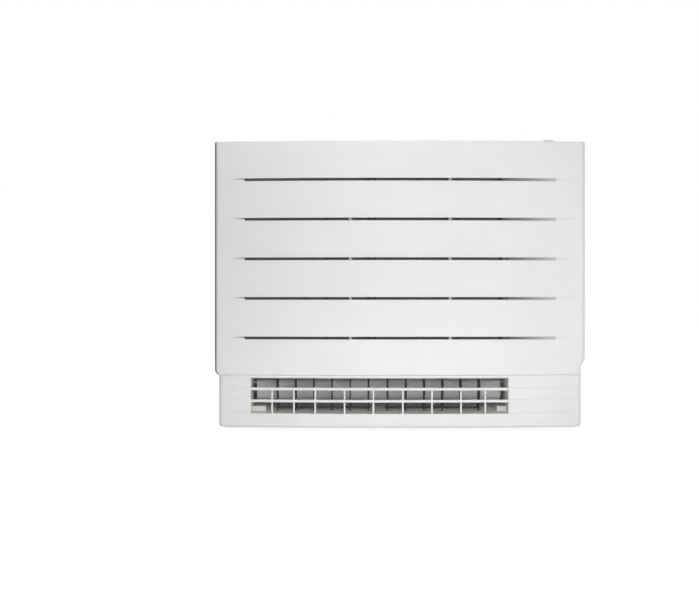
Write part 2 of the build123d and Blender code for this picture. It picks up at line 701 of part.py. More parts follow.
def make_fan_scroll():
    """Two waisted side walls that guide the air up and down from the fan."""
    walls = None
    z_low, z_high = scroll_z
    for side, edge_x in ((-1, top_x[0]), (1, top_x[1])):
        throat = fan_x + side * scroll_throat
        path = [Line((edge_x, 0, z_low), (edge_x, 0, scroll_bend_z[0])),
                ThreePointArc((edge_x, 0, scroll_bend_z[0]), (throat, 0, fan_z),
                              (edge_x, 0, scroll_bend_z[1])),
                Line((edge_x, 0, scroll_bend_z[1]), (edge_x, 0, z_high))]
        outer = edge_x + side * duct_wall
        outer_throat = throat + side * duct_wall
        back = [Line((outer, 0, z_high), (outer, 0, scroll_bend_z[1])),
                ThreePointArc((outer, 0, scroll_bend_z[1]), (outer_throat, 0, fan_z),
                              (outer, 0, scroll_bend_z[0])),
                Line((outer, 0, scroll_bend_z[0]), (outer, 0, z_low))]
        caps = [Line((edge_x, 0, z_high), (outer, 0, z_high)), Line((outer, 0, z_low), (edge_x, 0, z_low))]
        edges = [edge for curve in path + back + caps for edge in curve.edges()]
        section = Pos(0, scroll_front_y, 0) * Face(Wire(edges))
        depth = back_y - foot_rib - seat_gap - scroll_front_y
        plate = extrude(section, amount=depth, dir=(0, 1, 0))
        for z in mouth_screw_z:
            inner = sorted((edge_x, edge_x - side * mouth_boss))
            plate += box(*inner, scroll_front_y, scroll_front_y + mouth_boss, z - mouth_boss / 2,
                         z + mouth_boss / 2)
        walls = plate if walls is None else walls + plate
    return walls - screw_holes(mouth_screw_places(), (0, 1, 0), 2 * mouth_boss)


def ring(profile):
    """A ring with a profile of (radius, y) points about the fan's axis, in flat sides."""
    reach = 1 / math.cos(math.pi / ring_sides)
    outlines = []
    for side in range(ring_sides):
        turn = 2 * math.pi * side / ring_sides
        across, up = reach * math.cos(turn), reach * math.sin(turn)
        outlines.append([Vector(fan_x + r * across, y, fan_z + r * up) for r, y in profile])
    faces = []
    for here, following in zip(outlines, outlines[1:] + outlines[:1]):
        for k in range(len(profile)):
            corners = [here[k - 1], here[k], following[k], following[k - 1]]
            faces.append(Face(Wire.make_polygon(corners)))
    return Solid(Shell(faces))


def make_bell_mouth():
    """Plate in front of the fan with a funnel that reaches into its inlet."""
    y1 = scroll_front_y - seat_gap
    y0 = y1 - mouth_plate
    plate = box(top_x[0], top_x[1], y0, y1, *scroll_z)
    start = (fan_x, y0 - cut_over, fan_z)
    plate -= small_bar(start, (0, 1, 0), mouth_plate + 2 * cut_over, mouth_r[0], hole=True, sides=ring_sides)
    plate -= screw_holes(mouth_screw_places(), (0, 1, 0), mouth_boss)
    return plate + ring([(mouth_r[0] + 1, y0), (mouth_r[0] + 1, y1),
                         (mouth_r[1] + mouth_plate, y0 + mouth_reach),
                         (mouth_r[1], y0 + mouth_reach), (mouth_r[0] - 4, y0)])


def make_turbo_fan():
    """Backward-curved fan: dished hub and back plate, blades and a conical front ring."""
    inner = fan_hub_r - fan_plate
    hub = [(fan_r, fan_rear_y), (fan_r, fan_rear_y - fan_plate), (fan_hub_r, fan_rear_y - fan_plate),
           (fan_hub_r, fan_cup_y + fan_hub_bevel), (fan_hub_r - fan_hub_bevel, fan_cup_y),
           (shaft_r, fan_cup_y), (shaft_r, fan_cup_y + hub_boss_len),
           (hub_boss_r, fan_cup_y + hub_boss_len),
           (hub_boss_r, fan_cup_y + fan_plate), (inner - fan_hub_bevel + 1, fan_cup_y + fan_plate),
           (inner, fan_cup_y + fan_plate + fan_hub_bevel - 1), (inner, fan_rear_y)]
    shroud = [(fan_inlet_r, fan_front_y), (fan_inlet_r + fan_plate, fan_front_y),
              (fan_eye_r + 1, fan_shroud_rear_y - fan_plate), (fan_r, fan_shroud_rear_y - fan_plate),
              (fan_r, fan_shroud_rear_y), (fan_eye_r, fan_shroud_rear_y)]
    blades = [Pos(fan_x, 0, fan_z) * Rot(0, index * 360.0 / fan_blades, 0) * blade_blank()
              for index in range(fan_blades)]
    return ring(hub) + ring(shroud) + blades


def blade_blank():
    """One blade: an arc in the plane of rotation, given thickness and depth."""
    sweep_angle = math.radians(blade_sweep)
    tip_r = fan_r - blade_tip_gap - blade_t
    inner = (blade_inner_r, 0, 0)
    outer = (tip_r * math.cos(sweep_angle), 0, tip_r * math.sin(sweep_angle))
    mean = ((inner[0] + outer[0]) / 2 + 9, 0, outer[2] / 2 - 9)
    front = ThreePointArc(inner, mean, outer)
    stops = [front @ (k / blade_facets) for k in range(blade_facets + 1)]
    behind = [stop + Vector(0.8, 0, -0.8) * blade_t for stop in stops]
    section = Face(Wire.make_polygon(stops + behind[::-1]))
    y0 = fan_shroud_rear_y - fan_plate / 2
    return extrude(Pos(0, y0, 0) * section, amount=fan_rear_y - fan_plate / 2 - y0, dir=(0, 1, 0))


def make_motor():
    """Round motor with a front bearing boss and four mounting ears."""
    bore = shaft_r + pin_gap
    motor = ring([(bore, motor_y[0] - 4), (motor_boss_r, motor_y[0] - 4), (motor_boss_r, motor_y[0]),
                  (motor_r, motor_y[0] + 5), (motor_r, motor_y[1]), (bore, motor_y[1])])
    reach, half = motor_ear
    near = motor_r - 4
    y0 = motor_y[1] - motor_ear_t
    for x0, x1, z0, z1 in ((-reach, -near, -half, half), (near, reach, -half, half),
                           (-half, half, -reach, -near), (-half, half, near, reach)):
        motor += box(fan_x + x0, fan_x + x1, y0, motor_y[1], fan_z + z0, fan_z + z1)
    return motor - screw_holes(motor_screw_places(), (0, 1, 0), 2 * motor_ear_t)


def make_motor_bracket():
    """Square plate on four legs that stand on the back wall."""
    y0 = motor_y[1] + seat_gap
    y1 = back_y - foot_rib - seat_gap
    x0, x1 = fan_x - bracket_half, fan_x + bracket_half
    z0, z1 = fan_z - bracket_half, fan_z + bracket_half
    bracket = box(x0, x1, y0, y0 + bracket_t, z0, z1)
    for x in (x0, x1 - bracket_t):
        for z in (z0, z1 - bracket_leg_w):
            bracket += box(x, x + bracket_t, y0, y1, z, z + bracket_leg_w)
    for x, far in ((x0, x0 - bracket_leg_w), (x1, x1 + bracket_leg_w)):
        near, end = sorted((x, far))
        for z in (z0, z1 - bracket_leg_w):
            bracket += box(near, end, y1 - bracket_t, y1, z, z + bracket_leg_w)
    return bracket - screw_holes(motor_screw_places(), (0, 1, 0), 4 * motor_ear_t)


def make_shaft():
    """Motor shaft."""
    return rod_y(fan_x, *shaft_y, fan_z, shaft_r - thread_gap)


def hex_bar(across, y0, y1, x, z, bore):
    """Hexagonal nut along Y."""
    blank = extrude(Pos(x, y0, z) * Rot(-90, 0, 0) * RegularPolygon(across / 2, 6, major_radius=False),
                    amount=y1 - y0)
    return blank - small_bar((x, y0 - cut_over, z), (0, 1, 0), y1 - y0 + 2 * cut_over, bore, hole=True)


def make_fin_pack():
    """Row of thin upright fins."""
    pitch = (coil_x[1] - coil_x[0] - fin_t) / (fin_count - 1)
    fins = []
    for i in range(fin_count):
        x = coil_x[0] + i * pitch
        fins.append(box(x, x + fin_t, *coil_y, *coil_z))
    return Compound(children=fins)


def make_end_plates():
    """Flanged sheet plate at each end of the fins."""
    plates = []
    for x, side in ((coil_x[0] - seat_gap - end_plate_t, -1), (coil_x[1] + seat_gap, 1)):
        y0, y1 = coil_y[0] - end_plate_flange, coil_y[1] + end_plate_flange
        plate = box(x, x + end_plate_t, y0, y1, coil_z[0], coil_z[1])
        lip_x = sorted((x + end_plate_t / 2, x + end_plate_t / 2 + side * 8))
        for y in (y0, y1 - end_plate_t):
            plate += box(*lip_x, y, y + end_plate_t, coil_z[0], coil_z[1])
        plates.append(plate)
    return Compound(children=plates)


def tube_heights():
    """Heights of the straight tubes."""
    pitch = (coil_z[1] - coil_z[0]) / tube_rows
    return [coil_z[0] + (i + 0.5) * pitch for i in range(tube_rows)]


def make_coil_tube():
    """One serpentine tube through all the fins."""
    y = sum(coil_y) / 2
    left, right = coil_x[0] - tube_return, coil_x[1] + tube_return
    points = []
    for i, z in enumerate(tube_heights()):
        ends = [(right, y, z), (left, y, z)]
        points += ends if i % 2 == 0 else ends[::-1]
    return tube_along(Polyline(*points), tube_r)


def pipe_run(index):
    """Corner points of the gas or the liquid pipe, from the coil to the exit."""
    z = tube_heights()[-1 if index == 0 else 0]
    x = pipe_x[index]
    y = sum(coil_y) / 2
    start = coil_x[1] + tube_return + seat_gap
    return [(start, y, z), (x, y, z), (x, y, pipe_exit_z[index]), (x, pipe_end_y, pipe_exit_z[index])]


def bent_run(points, radius):
    """Straight pieces along a run with rounded corners, three pieces to a bend."""
    stops = [points[0]]
    for edge in FilletPolyline(*points, radius=radius).edges():
        shares = (1 / 3, 2 / 3, 1) if edge.geom_type == GeomType.CIRCLE else (1,)
        stops += [edge @ share for share in shares]
    return Polyline(*stops)


def tube_along(path, r, hole=False):
    """A few-sided bar along a path of straight pieces, with mitred corners."""
    plane = Plane(origin=path @ 0, z_dir=path % 0)
    section = plane * RegularPolygon(r, tube_sides, major_radius=not hole)
    return sweep(section, path=path, transition=Transition.RIGHT)


def make_pipe(index):
    """Copper pipe from the coil down and back to the pipe exit."""
    return tube_along(bent_run(pipe_run(index), pipe_bend_r[index]), pipe_r[index])


def make_flare_nuts():
    """Hexagonal flare nuts on the ends of the two pipes."""
    nuts = []
    for i in (0, 1):
        y1 = pipe_end_y - 2
        nuts.append(hex_bar(flare_across[i], y1 - flare_len, y1, pipe_x[i], pipe_exit_z[i],
                            pipe_r[i] + pin_gap))
    return Compound(children=nuts)


def make_drain_pan():
    """Trough under the coil with a floor that falls to the spout."""
    x0, x1 = pan_x
    y0, y1 = pan_y
    z0, z1 = pan_z
    pan = box(x0, x1, y0, y1, z0, z1)
    fall = [(x0 + pan_wall, z0 + pan_wall), (x1 - pan_wall, z0 + pan_wall + pan_fall),
            (x1 - pan_wall, z1 + cut_over), (x0 + pan_wall, z1 + cut_over)]
    face = Face(Wire.make_polygon([Vector(x, y0 + pan_wall, z) for x, z in fall]))
    pan -= extrude(face, amount=y1 - y0 - 2 * pan_wall, dir=(0, 1, 0))
    spout = (x0 + 0.5, (y0 + y1) / 2, z0 + spout_r)
    pan += small_bar(spout, (-1, 0, 0), spout_len, hose_bore_r - seat_gap, sides=tube_sides)
    return pan - small_bar((x0 + 2 * pan_wall, spout[1], spout[2]), (-1, 0, 0), spout_len + 4 * pan_wall,
                           spout_bore_r)


def make_drain_hose():
    """Hose from the pan's spout down and back to the pipe exit."""
    y = sum(pan_y) / 2
    z = pan_z[0] + spout_r
    cuff_y = drain_end_y - drain_cuff
    points = [(pan_x[0] - 2, y, z), (drain_x, y, z), (drain_x, y, drain_z), (drain_x, cuff_y + 1, drain_z)]
    path = bent_run(points, drain_bend_r)
    hose = tube_along(path, spout_r) - tube_along(path, hose_bore_r, hole=True)
    cuff = small_bar((drain_x, cuff_y, drain_z), (0, 1, 0), drain_cuff, spout_r, sides=can_sides)
    return hose + (cuff - rod_y(drain_x, cuff_y - cut_over, drain_end_y + cut_over, drain_z, hose_bore_r))


def roof_curve():
    """The upper duct's roof in side view, from the back wall up and forward to the outlet."""
    start = Vector(0, back_y - foot_rib - seat_gap - duct_wall, roof_z)
    end = Vector(0, top_y[1] + throat_back_gap, flap_axis_z - flap_sweep)
    return (TangentArc(start, end, tangent=(0, 0, 1)),)


def make_upper_duct():
    """Roof that turns the air up, and the throat under the deck with fixed guide ribs."""
    duct = curved_sheet(roof_curve(), -duct_wall, top_x[0] + seat_gap, top_x[1] - seat_gap)
    z0, z1 = scroll_z[1] + seat_gap, deck_z - wall - seat_gap
    y0 = top_y[0] - throat_wall
    y_back = top_y[1] + throat_back_gap
    y1 = y_back + throat_wall
    duct += box(top_x[0], top_x[1], y0, top_y[0], z0, z1)
    duct += box(top_x[0], top_x[1], y_back, y1, flap_axis_z - flap_sweep - duct_wall, z1)
    for x in (top_x[0] - throat_wall, top_x[1]):
        plate = box(x, x + throat_wall, y0, y1, z0, z1)
        duct += plate - axle(x - cut_over, x + throat_wall + cut_over, flap_axis_y, flap_axis_z,
                             flap_pin_r + pin_gap, hole=True)
    for i in range(1, throat_rib_count + 1):
        x = top_x[0] + i * (top_x[1] - top_x[0]) / (throat_rib_count + 1)
        duct += box(x - throat_rib_t / 2, x + throat_rib_t / 2, y0 + 1, y1 - 1, z0, flap_axis_z - flap_sweep)
    return duct


def make_flap():
    """Crowned lid of the upper outlet with a hinge lug and pin at each end."""
    x0, x1 = top_x[0] + flap_gap, top_x[1] - flap_gap
    y0, y1 = top_y[0] + flap_gap, top_y[1] - flap_gap
    top = deck_z - 0.3
    crest = ThreePointArc((0, y0, top - flap_crown), (0, (y0 + y1) / 2, top), (0, y1, top - flap_crown))
    rest = Polyline((0, y1, top - flap_crown), (0, y1, top - flap_t), (0, y0, top - flap_t),
                    (0, y0, top - flap_crown))
    section = make_face(crest.edges() + rest.edges())
    flap = extrude(Pos(x0, 0, 0) * section, amount=x1 - x0, dir=(1, 0, 0))
    for near, far, outer in ((x0, x0 + 4, top_x[0] - throat_wall), (x1 - 4, x1, top_x[1] + throat_wall)):
        flap += box(near, far, flap_axis_y - flap_lug, flap_axis_y + flap_lug, flap_axis_z - flap_lug,
                    top - flap_t + 0.5)
        ends = sorted((near if outer < near else far, outer))
        flap += axle(*ends, flap_axis_y, flap_axis_z, flap_pin_r)
    return flap


def make_stepper(x, y, z):
    """Small geared motor with two fixing ears, outside a duct wall; its shaft is at y, z."""
    middle = z - stepper_offset
    can = small_bar((x, y, middle), (1, 0, 0), stepper_len, stepper_r, sides=can_sides)
    return can + box(x, x + sheet, y - stepper_ear, y + stepper_ear, middle - 3.5, middle + 3.5)


def make_filter(x0, x1):
    """Filter frame with cross ribs."""
    y1 = rim_y - seat_gap
    y0 = y1 - filter_t
    z0, z1 = intake_z[0] - 4, intake_z[1] + 4
    frame = box(x0, x1, y0, y1, z0, z1)
    step_x = (x1 - x0 - 2 * filter_rim + filter_rib) / filter_columns
    step_z = (z1 - z0 - 2 * filter_rim + filter_rib) / filter_rows
    holes = []
    for i in range(filter_columns):
        for k in range(filter_rows):
            x = x0 + filter_rim + i * step_x
            z = z0 + filter_rim + k * step_z
            holes.append(box(x, x + step_x - filter_rib, y0 - cut_over, y1 + cut_over,
                             z, z + step_z - filter_rib))
    return frame - holes


def filter_spans():
    """The x range of the left and the right filter."""
    middle = sum(intake_x) / 2
    return [(intake_x[0] - 5, middle - 0.5), (middle + 0.5, intake_x[1] + 5)]


def make_filter_nets():
    """Net sheet in the middle of each filter frame, open where the frame's ribs pass."""
    nets = []
    y = rim_y - seat_gap - filter_t / 2
    z0, z1 = intake_z[0] - 4, intake_z[1] + 4
    for x0, x1 in filter_spans():
        step_x = (x1 - x0 - 2 * filter_rim + filter_rib) / filter_columns
        step_z = (z1 - z0 - 2 * filter_rim + filter_rib) / filter_rows
        for i in range(filter_columns):
            for k in range(filter_rows):
                x = x0 + filter_rim + i * step_x
                z = z0 + filter_rim + k * step_z
                nets.append(box(x, x + step_x - filter_rib, y, y + net_t, z, z + step_z - filter_rib))
    return Compound(children=nets)


def make_electrical_box():
    """Open sheet steel box in the right bay."""
    x0, x1 = ebox_x
    y0, y1 = ebox_y
    z0, z1 = ebox_z
    case = box(x0, x1, y0, y1, z0, z1)
    case -= box(x0 + sheet, x1 - sheet, y0 - cut_over, y1 - sheet, z0 + sheet, z1 - sheet)
    # A lug with a turned foot reaches over to the scroll wall.
    wall_x = top_x[1] + duct_wall + seat_gap
    case += box(wall_x, x0 + sheet, y1 - sheet, y1, *ebox_lug_z)
    return case + box(wall_x, wall_x + sheet, y1 - ebox_lug_foot, y1, *ebox_lug_z)


def make_box_lid():
    """Lid with a turned edge in front of the electrical box."""
    x0, x1 = ebox_x
    z0, z1 = ebox_z
    y0 = ebox_y[0] - seat_gap - sheet
    lid = box(x0 - 1.6, x1 + 1.6, y0, y0 + sheet, z0 - 1.6, z1 + 1.6)
    for x in (x0 - 1.6, x1 + 1.6 - sheet):
        lid += box(x, x + sheet, y0, y0 + 12, z0 - 1.6, z1 + 1.6)
    return lid


def make_control_board():
    """Circuit board with its larger components."""
    x0, x1 = ebox_x[0] + 8, ebox_x[1] - 8
    z0, z1 = ebox_z[0] + 60, ebox_z[1] - 8
    y1 = ebox_y[1] - sheet - 8
    y0 = y1 - board_t
    board = box(x0, x1, y0, y1, z0, z1)
    board += box(x0 + 10, x0 + 34, y0 - 16, y0 + 0.2, z1 - 40, z1 - 12)
    board += box(x0 + 42, x0 + 62, y0 - 14, y0 + 0.2, z1 - 38, z1 - 14)
    board += box(x0 + 12, x0 + 50, y0 - 9, y0 + 0.2, z0 + 14, z0 + 44)
    board += box(x1 - 16, x1 - 6, y0 - 8, y0 + 0.2, z0 + 12, z0 + 90)
    for x, z in ((x0 + 8, z0 + 6), (x1 - 8, z0 + 6), (x0 + 8, z1 - 6), (x1 - 8, z1 - 6)):
        board += small_bar((x, y1 - 0.5, z), (0, 1, 0), ebox_y[1] - sheet - seat_gap - y1 + 0.5, standoff_r)
    return board


def make_terminal_block():
    """Terminal block in the lower end of the electrical box."""
    x0, x1 = ebox_x[0] + 14, ebox_x[1] - 30
    y1 = ebox_y[1] - sheet - seat_gap
    z0 = ebox_z[0] + sheet + 8
    block = box(x0, x1, y1 - 14, y1, z0, z0 + 30)
    count = 4
    pitch = (x1 - x0) / count
    for i in range(count):
        block -= box(x0 + (i + 0.15) * pitch, x0 + (i + 0.85) * pitch, y1 - 15, y1 - 6, z0 + 6, z0 + 24)
    return block


def make_sensor():
    """Temperature sensor clipped on the coil's end plate."""
    x = coil_x[1] + seat_gap + end_plate_t + seat_gap
    y = sum(coil_y) / 2
    z = (tube_heights()[6] + tube_heights()[7]) / 2
    bulb = small_bar((x + sensor_r + 1, y, z - sensor_half), (0, 0, 1), 2 * sensor_half, sensor_r)
    return bulb + box(x, x + 2, y - 5, y + 5, z - 6, z + 6)


def make_pod():
    """Small rounded housing on the deck."""
    z0 = deck_z + seat_gap
    pod = box(*pod_x, *pod_y, z0, deck_z + pod_h)
    pod = chamfer(pod.edges().filter_by(Axis.Z), pod_corner)
    pod = chamfer([e for e in pod.edges() if e.center().Z > deck_z + pod_h - 0.1], 1.5)
    x = sum(pod_x) / 2
    well = (x, button_y, z0 - cut_over)
    pod -= small_bar(well, (0, 0, 1), 2 * pod_h, button_r + seat_gap, hole=True, sides=can_sides)
    return pod - box(x - 6 - seat_gap, x + 6 + seat_gap, pod_y[0] - cut_over, pod_y[0] + 2 + seat_gap,
                     deck_z + 2, deck_z + 6)


def make_button():
    """Round button with a stem that passes the deck."""
    x = sum(pod_x) / 2
    low = deck_z + 3.2
    button = small_bar((x, button_y, low), (0, 0, 1), overall_h - low, button_r, sides=can_sides)
    return button + small_bar((x, button_y, deck_z - 9), (0, 0, 1), 13, button_stem_r)


def make_signal_lens():
    """Dark window in the pod's front."""
    x = sum(pod_x) / 2
    return box(x - 6, x + 6, pod_y[0] + 0.2, pod_y[0] + 2, deck_z + 2 + seat_gap, deck_z + 6 - seat_gap)


def make_display_board():
    """Small board under the deck with the button's switch."""
    x = sum(pod_x) / 2
    z1 = deck_z - 15
    board = box(x - 22, x + 22, pod_y[0] - 4, pod_y[1] + 4, z1 - board_t, z1)
    board += box(x - 5, x + 5, button_y - 5, button_y + 5, z1 - 0.2, z1 + 4)
    for side_x in (x - 18, x + 18):
        reach = deck_z - wall - seat_gap - z1 + 0.2
        board += small_bar((side_x, pod_y[0], z1 - 0.2), (0, 0, 1), reach, standoff_r)
    return board


def save(name, shape):
    """Write one piece under its own name."""
    shape.label = name
    export_step(shape, f"parts/{name}.step")


save("front_panel", make_front_panel())
save("front_cover", make_front_cover())
save("rear_casing", make_rear_casing())
save("back_plate", make_back_plate())
save("outlet_grille", make_outlet_grille())
save("outlet_duct", make_outlet_duct())
for group, name in enumerate(("left", "right")):
    places = vane_places()[group * vane_group:(group + 1) * vane_group]
    for number, place in enumerate(places, start=1):
        save(f"vane_{name}_{number}", make_vane(place))
    save(f"vane_link_{name}", make_link(places))
save("lower_shutter", make_shutter())
save("fan_scroll", make_fan_scroll())
save("bell_mouth", make_bell_mouth())
save("turbo_fan", make_turbo_fan())
save("fan_motor", make_motor())
save("motor_bracket", make_motor_bracket())
save("motor_shaft", make_shaft())
save("shaft_nut", hex_bar(nut_across, fan_cup_y - nut_t, fan_cup_y, fan_x, fan_z, shaft_r))
save("fin_pack", make_fin_pack())
save("coil_end_plates", make_end_plates())
save("coil_tube", make_coil_tube())
save("gas_pipe", make_pipe(0))
save("liquid_pipe", make_pipe(1))
save("flare_nuts", make_flare_nuts())
save("drain_pan", make_drain_pan())
save("drain_hose", make_drain_hose())
save("upper_duct", make_upper_duct())
save("upper_flap", make_flap())
save("flap_motor", make_stepper(top_x[1] + throat_wall + seat_gap, flap_axis_y, flap_axis_z - 4))
save("shutter_motor", make_stepper(outlet_x[1] + duct_wall + seat_gap, shutter_axis_y, shutter_axis_z))
save("filter_left", make_filter(*filter_spans()[0]))
save("filter_right", make_filter(*filter_spans()[1]))
save("filter_nets", make_filter_nets())
save("electrical_box", make_electrical_box())
save("electrical_box_lid", make_box_lid())
save("control_board", make_control_board())
save("terminal_block", make_terminal_block())
save("coil_sensor", make_sensor())
save("control_pod", make_pod())
save("power_button", make_button())
save("signal_lens", make_signal_lens())
save("display_board", make_display_board())
motor_screw_len = motor_ear_t + seat_gap + 2 * bracket_t
for name, places, direction, length in (
        ("mouth_screws", mouth_screw_places(), (0, 1, 0), mouth_boss),
        ("motor_screws", motor_screw_places(), (0, 1, 0), motor_screw_len),
        ("casing_screws", casing_screw_places(), (0, 0, -1), 3 * wall)):
    save(name, Compound(children=[screw(place, direction, length) for place in places]))
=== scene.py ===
import json
import math

import bmesh
import bpy
import numpy as np
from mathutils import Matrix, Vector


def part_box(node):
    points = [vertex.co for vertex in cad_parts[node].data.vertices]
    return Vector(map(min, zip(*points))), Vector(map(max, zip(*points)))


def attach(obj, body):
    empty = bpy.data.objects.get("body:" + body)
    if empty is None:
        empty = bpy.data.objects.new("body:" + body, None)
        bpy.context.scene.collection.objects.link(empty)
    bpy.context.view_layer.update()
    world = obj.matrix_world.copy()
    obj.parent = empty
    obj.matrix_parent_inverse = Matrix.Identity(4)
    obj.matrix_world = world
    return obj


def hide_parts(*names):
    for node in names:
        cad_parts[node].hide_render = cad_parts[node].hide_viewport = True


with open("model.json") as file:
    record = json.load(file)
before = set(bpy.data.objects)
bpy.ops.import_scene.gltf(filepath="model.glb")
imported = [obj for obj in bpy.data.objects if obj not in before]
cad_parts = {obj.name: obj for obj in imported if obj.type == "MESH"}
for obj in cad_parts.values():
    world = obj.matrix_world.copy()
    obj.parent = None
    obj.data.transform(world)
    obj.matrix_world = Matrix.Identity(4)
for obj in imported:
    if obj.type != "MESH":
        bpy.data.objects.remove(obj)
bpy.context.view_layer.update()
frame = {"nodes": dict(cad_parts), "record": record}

# Floor standing air conditioner. Lengths are in millimetres here and become metres in the mesh.
# +X is to the right seen from the front, +Y goes to the wall, +Z is up.
metre = 0.001
bodyForm = {"bowRadius": 3900.0, "frontY": -119.0, "wall": 2.5, "bodyHalf": 366.5,
            "outletX": (-300.8, 217.7), "outletZ": (38.0, 110.6)}
smallest = 0.002                        # points nearer than this are one point
creaseAngle = math.radians(34)          # edges that turn more than this stay sharp
bevelForm = {"segments": 2, "angle": math.radians(30)}
print("frame loaded:", len(frame["nodes"]), "nodes")


def placeObject(name, data):
    # a new object in the scene
    thing = bpy.data.objects.new(name, data)
    bpy.context.scene.collection.objects.link(thing)
    return thing


# Camera, at the photograph's own viewing angle. Its place is in metres.
cameraForm = {"place": (-0.102, -2.319, 0.2605), "lens": 56.55, "sensor": 36.0}
cameraData = bpy.data.cameras.new("camera")
cameraData.lens = cameraForm["lens"]
cameraData.sensor_width = cameraForm["sensor"]
camera = placeObject("camera", cameraData)
camera.location = cameraForm["place"]
camera.rotation_euler = (math.pi / 2, 0, 0)
bpy.context.scene.camera = camera
print("camera placed")


def toLinear(code):
    # sRGB hex to linear light: a straight part near black, a power of 2.4 above it
    parts = np.array([int(code[i:i + 2], 16) for i in (1, 3, 5)]) / 255
    curved = ((parts + 0.055) / 1.055) ** 2.4
    return (*np.where(parts <= 0.04045, parts / 12.92, curved).tolist(), 1.0)


times, timesPlus = {"operation": "MULTIPLY"}, {"operation": "MULTIPLY_ADD"}


def addNode(tree, kind, inputs=None, settings=None):
    # one shader node with its settings, and its inputs linked or set; a hex colour is made linear
    node = tree.nodes.new("ShaderNode" + kind)
    for name, value in (settings or {}).items():
        setattr(node, name, value)
    for name, value in (inputs or {}).items():
        if isinstance(value, bpy.types.NodeSocket):
            tree.links.new(value, node.inputs[name])
        else:
            node.inputs[name].default_value = toLinear(value) if isinstance(value, str) else value
    return node


def emptyTree(owner):
    # a material's or a world's node tree, with nothing in it
    owner.use_nodes = True
    owner.node_tree.nodes.clear()
    return owner.node_tree


def startMaterial(name, settings):
    # a new material with a shader on its output and the piece's own coordinates
    material = bpy.data.materials.new(name)
    tree = emptyTree(material)
    shader = addNode(tree, "BsdfPrincipled", settings)
    addNode(tree, "OutputMaterial", {"Surface": shader.outputs[0]})
    place = addNode(tree, "TexCoord").outputs["Object"]
    return material, tree, shader, place


def coatShader(tree, shader, colour, layers, height, bump, rough=None):
    # Colour: each layer's colour over the last by the layer's share (a Mix node's 6 and 7 are its
    # colours). Relief: from height, with the bump's strength and depth in mm. Roughness: a pattern.
    for share, over in layers:
        colour = addNode(tree, "Mix", {0: share, 6: colour, 7: over}, {"data_type": "RGBA"}).outputs[2]
    strength, depthMm = bump
    relief = addNode(tree, "Bump", {"Height": height, "Strength": strength, "Distance": depthMm * metre})
    tree.links.new(colour, shader.inputs["Base Color"])
    tree.links.new(relief.outputs[0], shader.inputs["Normal"])
    if rough:
        tree.links.new(rough, shader.inputs["Roughness"])


def noiseAt(tree, place, sizeMm, detail=2.0, low=0.0, high=1.0):
    # noise whose blotches are sizeMm wide, most of which is from 0.3 to 0.7, spread over low to high
    noise = addNode(tree, "TexNoise", {"Vector": place, "Scale": 1 / (sizeMm * metre), "Detail": detail})
    return addNode(tree, "MapRange", {"Value": noise.outputs["Fac"], "From Min": 0.3, "From Max": 0.7,
                                      "To Min": low, "To Max": high}).outputs[0]


# Painted shade in the slots' blind ends: darkest beside the open slot, lighter towards the tip. Each
# ramp is (from, to) in mm and the share of painted shade at its two ends.
paintedTroughShadeForm = {"colour": "#5f5f5d", "sunk": ((0.8, 2.4), (0.0, 1.0)),
              "along": ((206.0, 314.0), (0.95, 0.3)), "end": ((316.0, 315.0), (0.0, 1.0))}


# the share of painted shade in a blind trough, by depth behind the front and by x along the slot
def paintedTroughShadeShare(tree, place):
    # depth behind the bowed front: y less the front's y, less x squared over twice the bow's radius
    parts = addNode(tree, "SeparateXYZ", {"Vector": place})
    x = parts.outputs["X"]
    square = addNode(tree, "Math", {0: x, 1: x}, times).outputs[0]
    bowed = addNode(tree, "Math", {0: square, 1: -0.5 / (bodyForm["bowRadius"] * metre),
                                   2: -bodyForm["frontY"] * metre}, timesPlus).outputs[0]
    depth = addNode(tree, "Math", {0: parts.outputs["Y"], 1: bowed}).outputs[0]
    share = 1.0
    for value, name in ((depth, "sunk"), (x, "along"), (x, "end")):
        (start, stop), (low, high) = paintedTroughShadeForm[name]
        ramp = addNode(tree, "MapRange", {"Value": value, "From Min": start * metre,
                                          "From Max": stop * metre, "To Min": low,
                                          "To Max": high}).outputs[0]
        share = addNode(tree, "Math", {0: ramp, 1: share}, times).outputs[0]
    return share


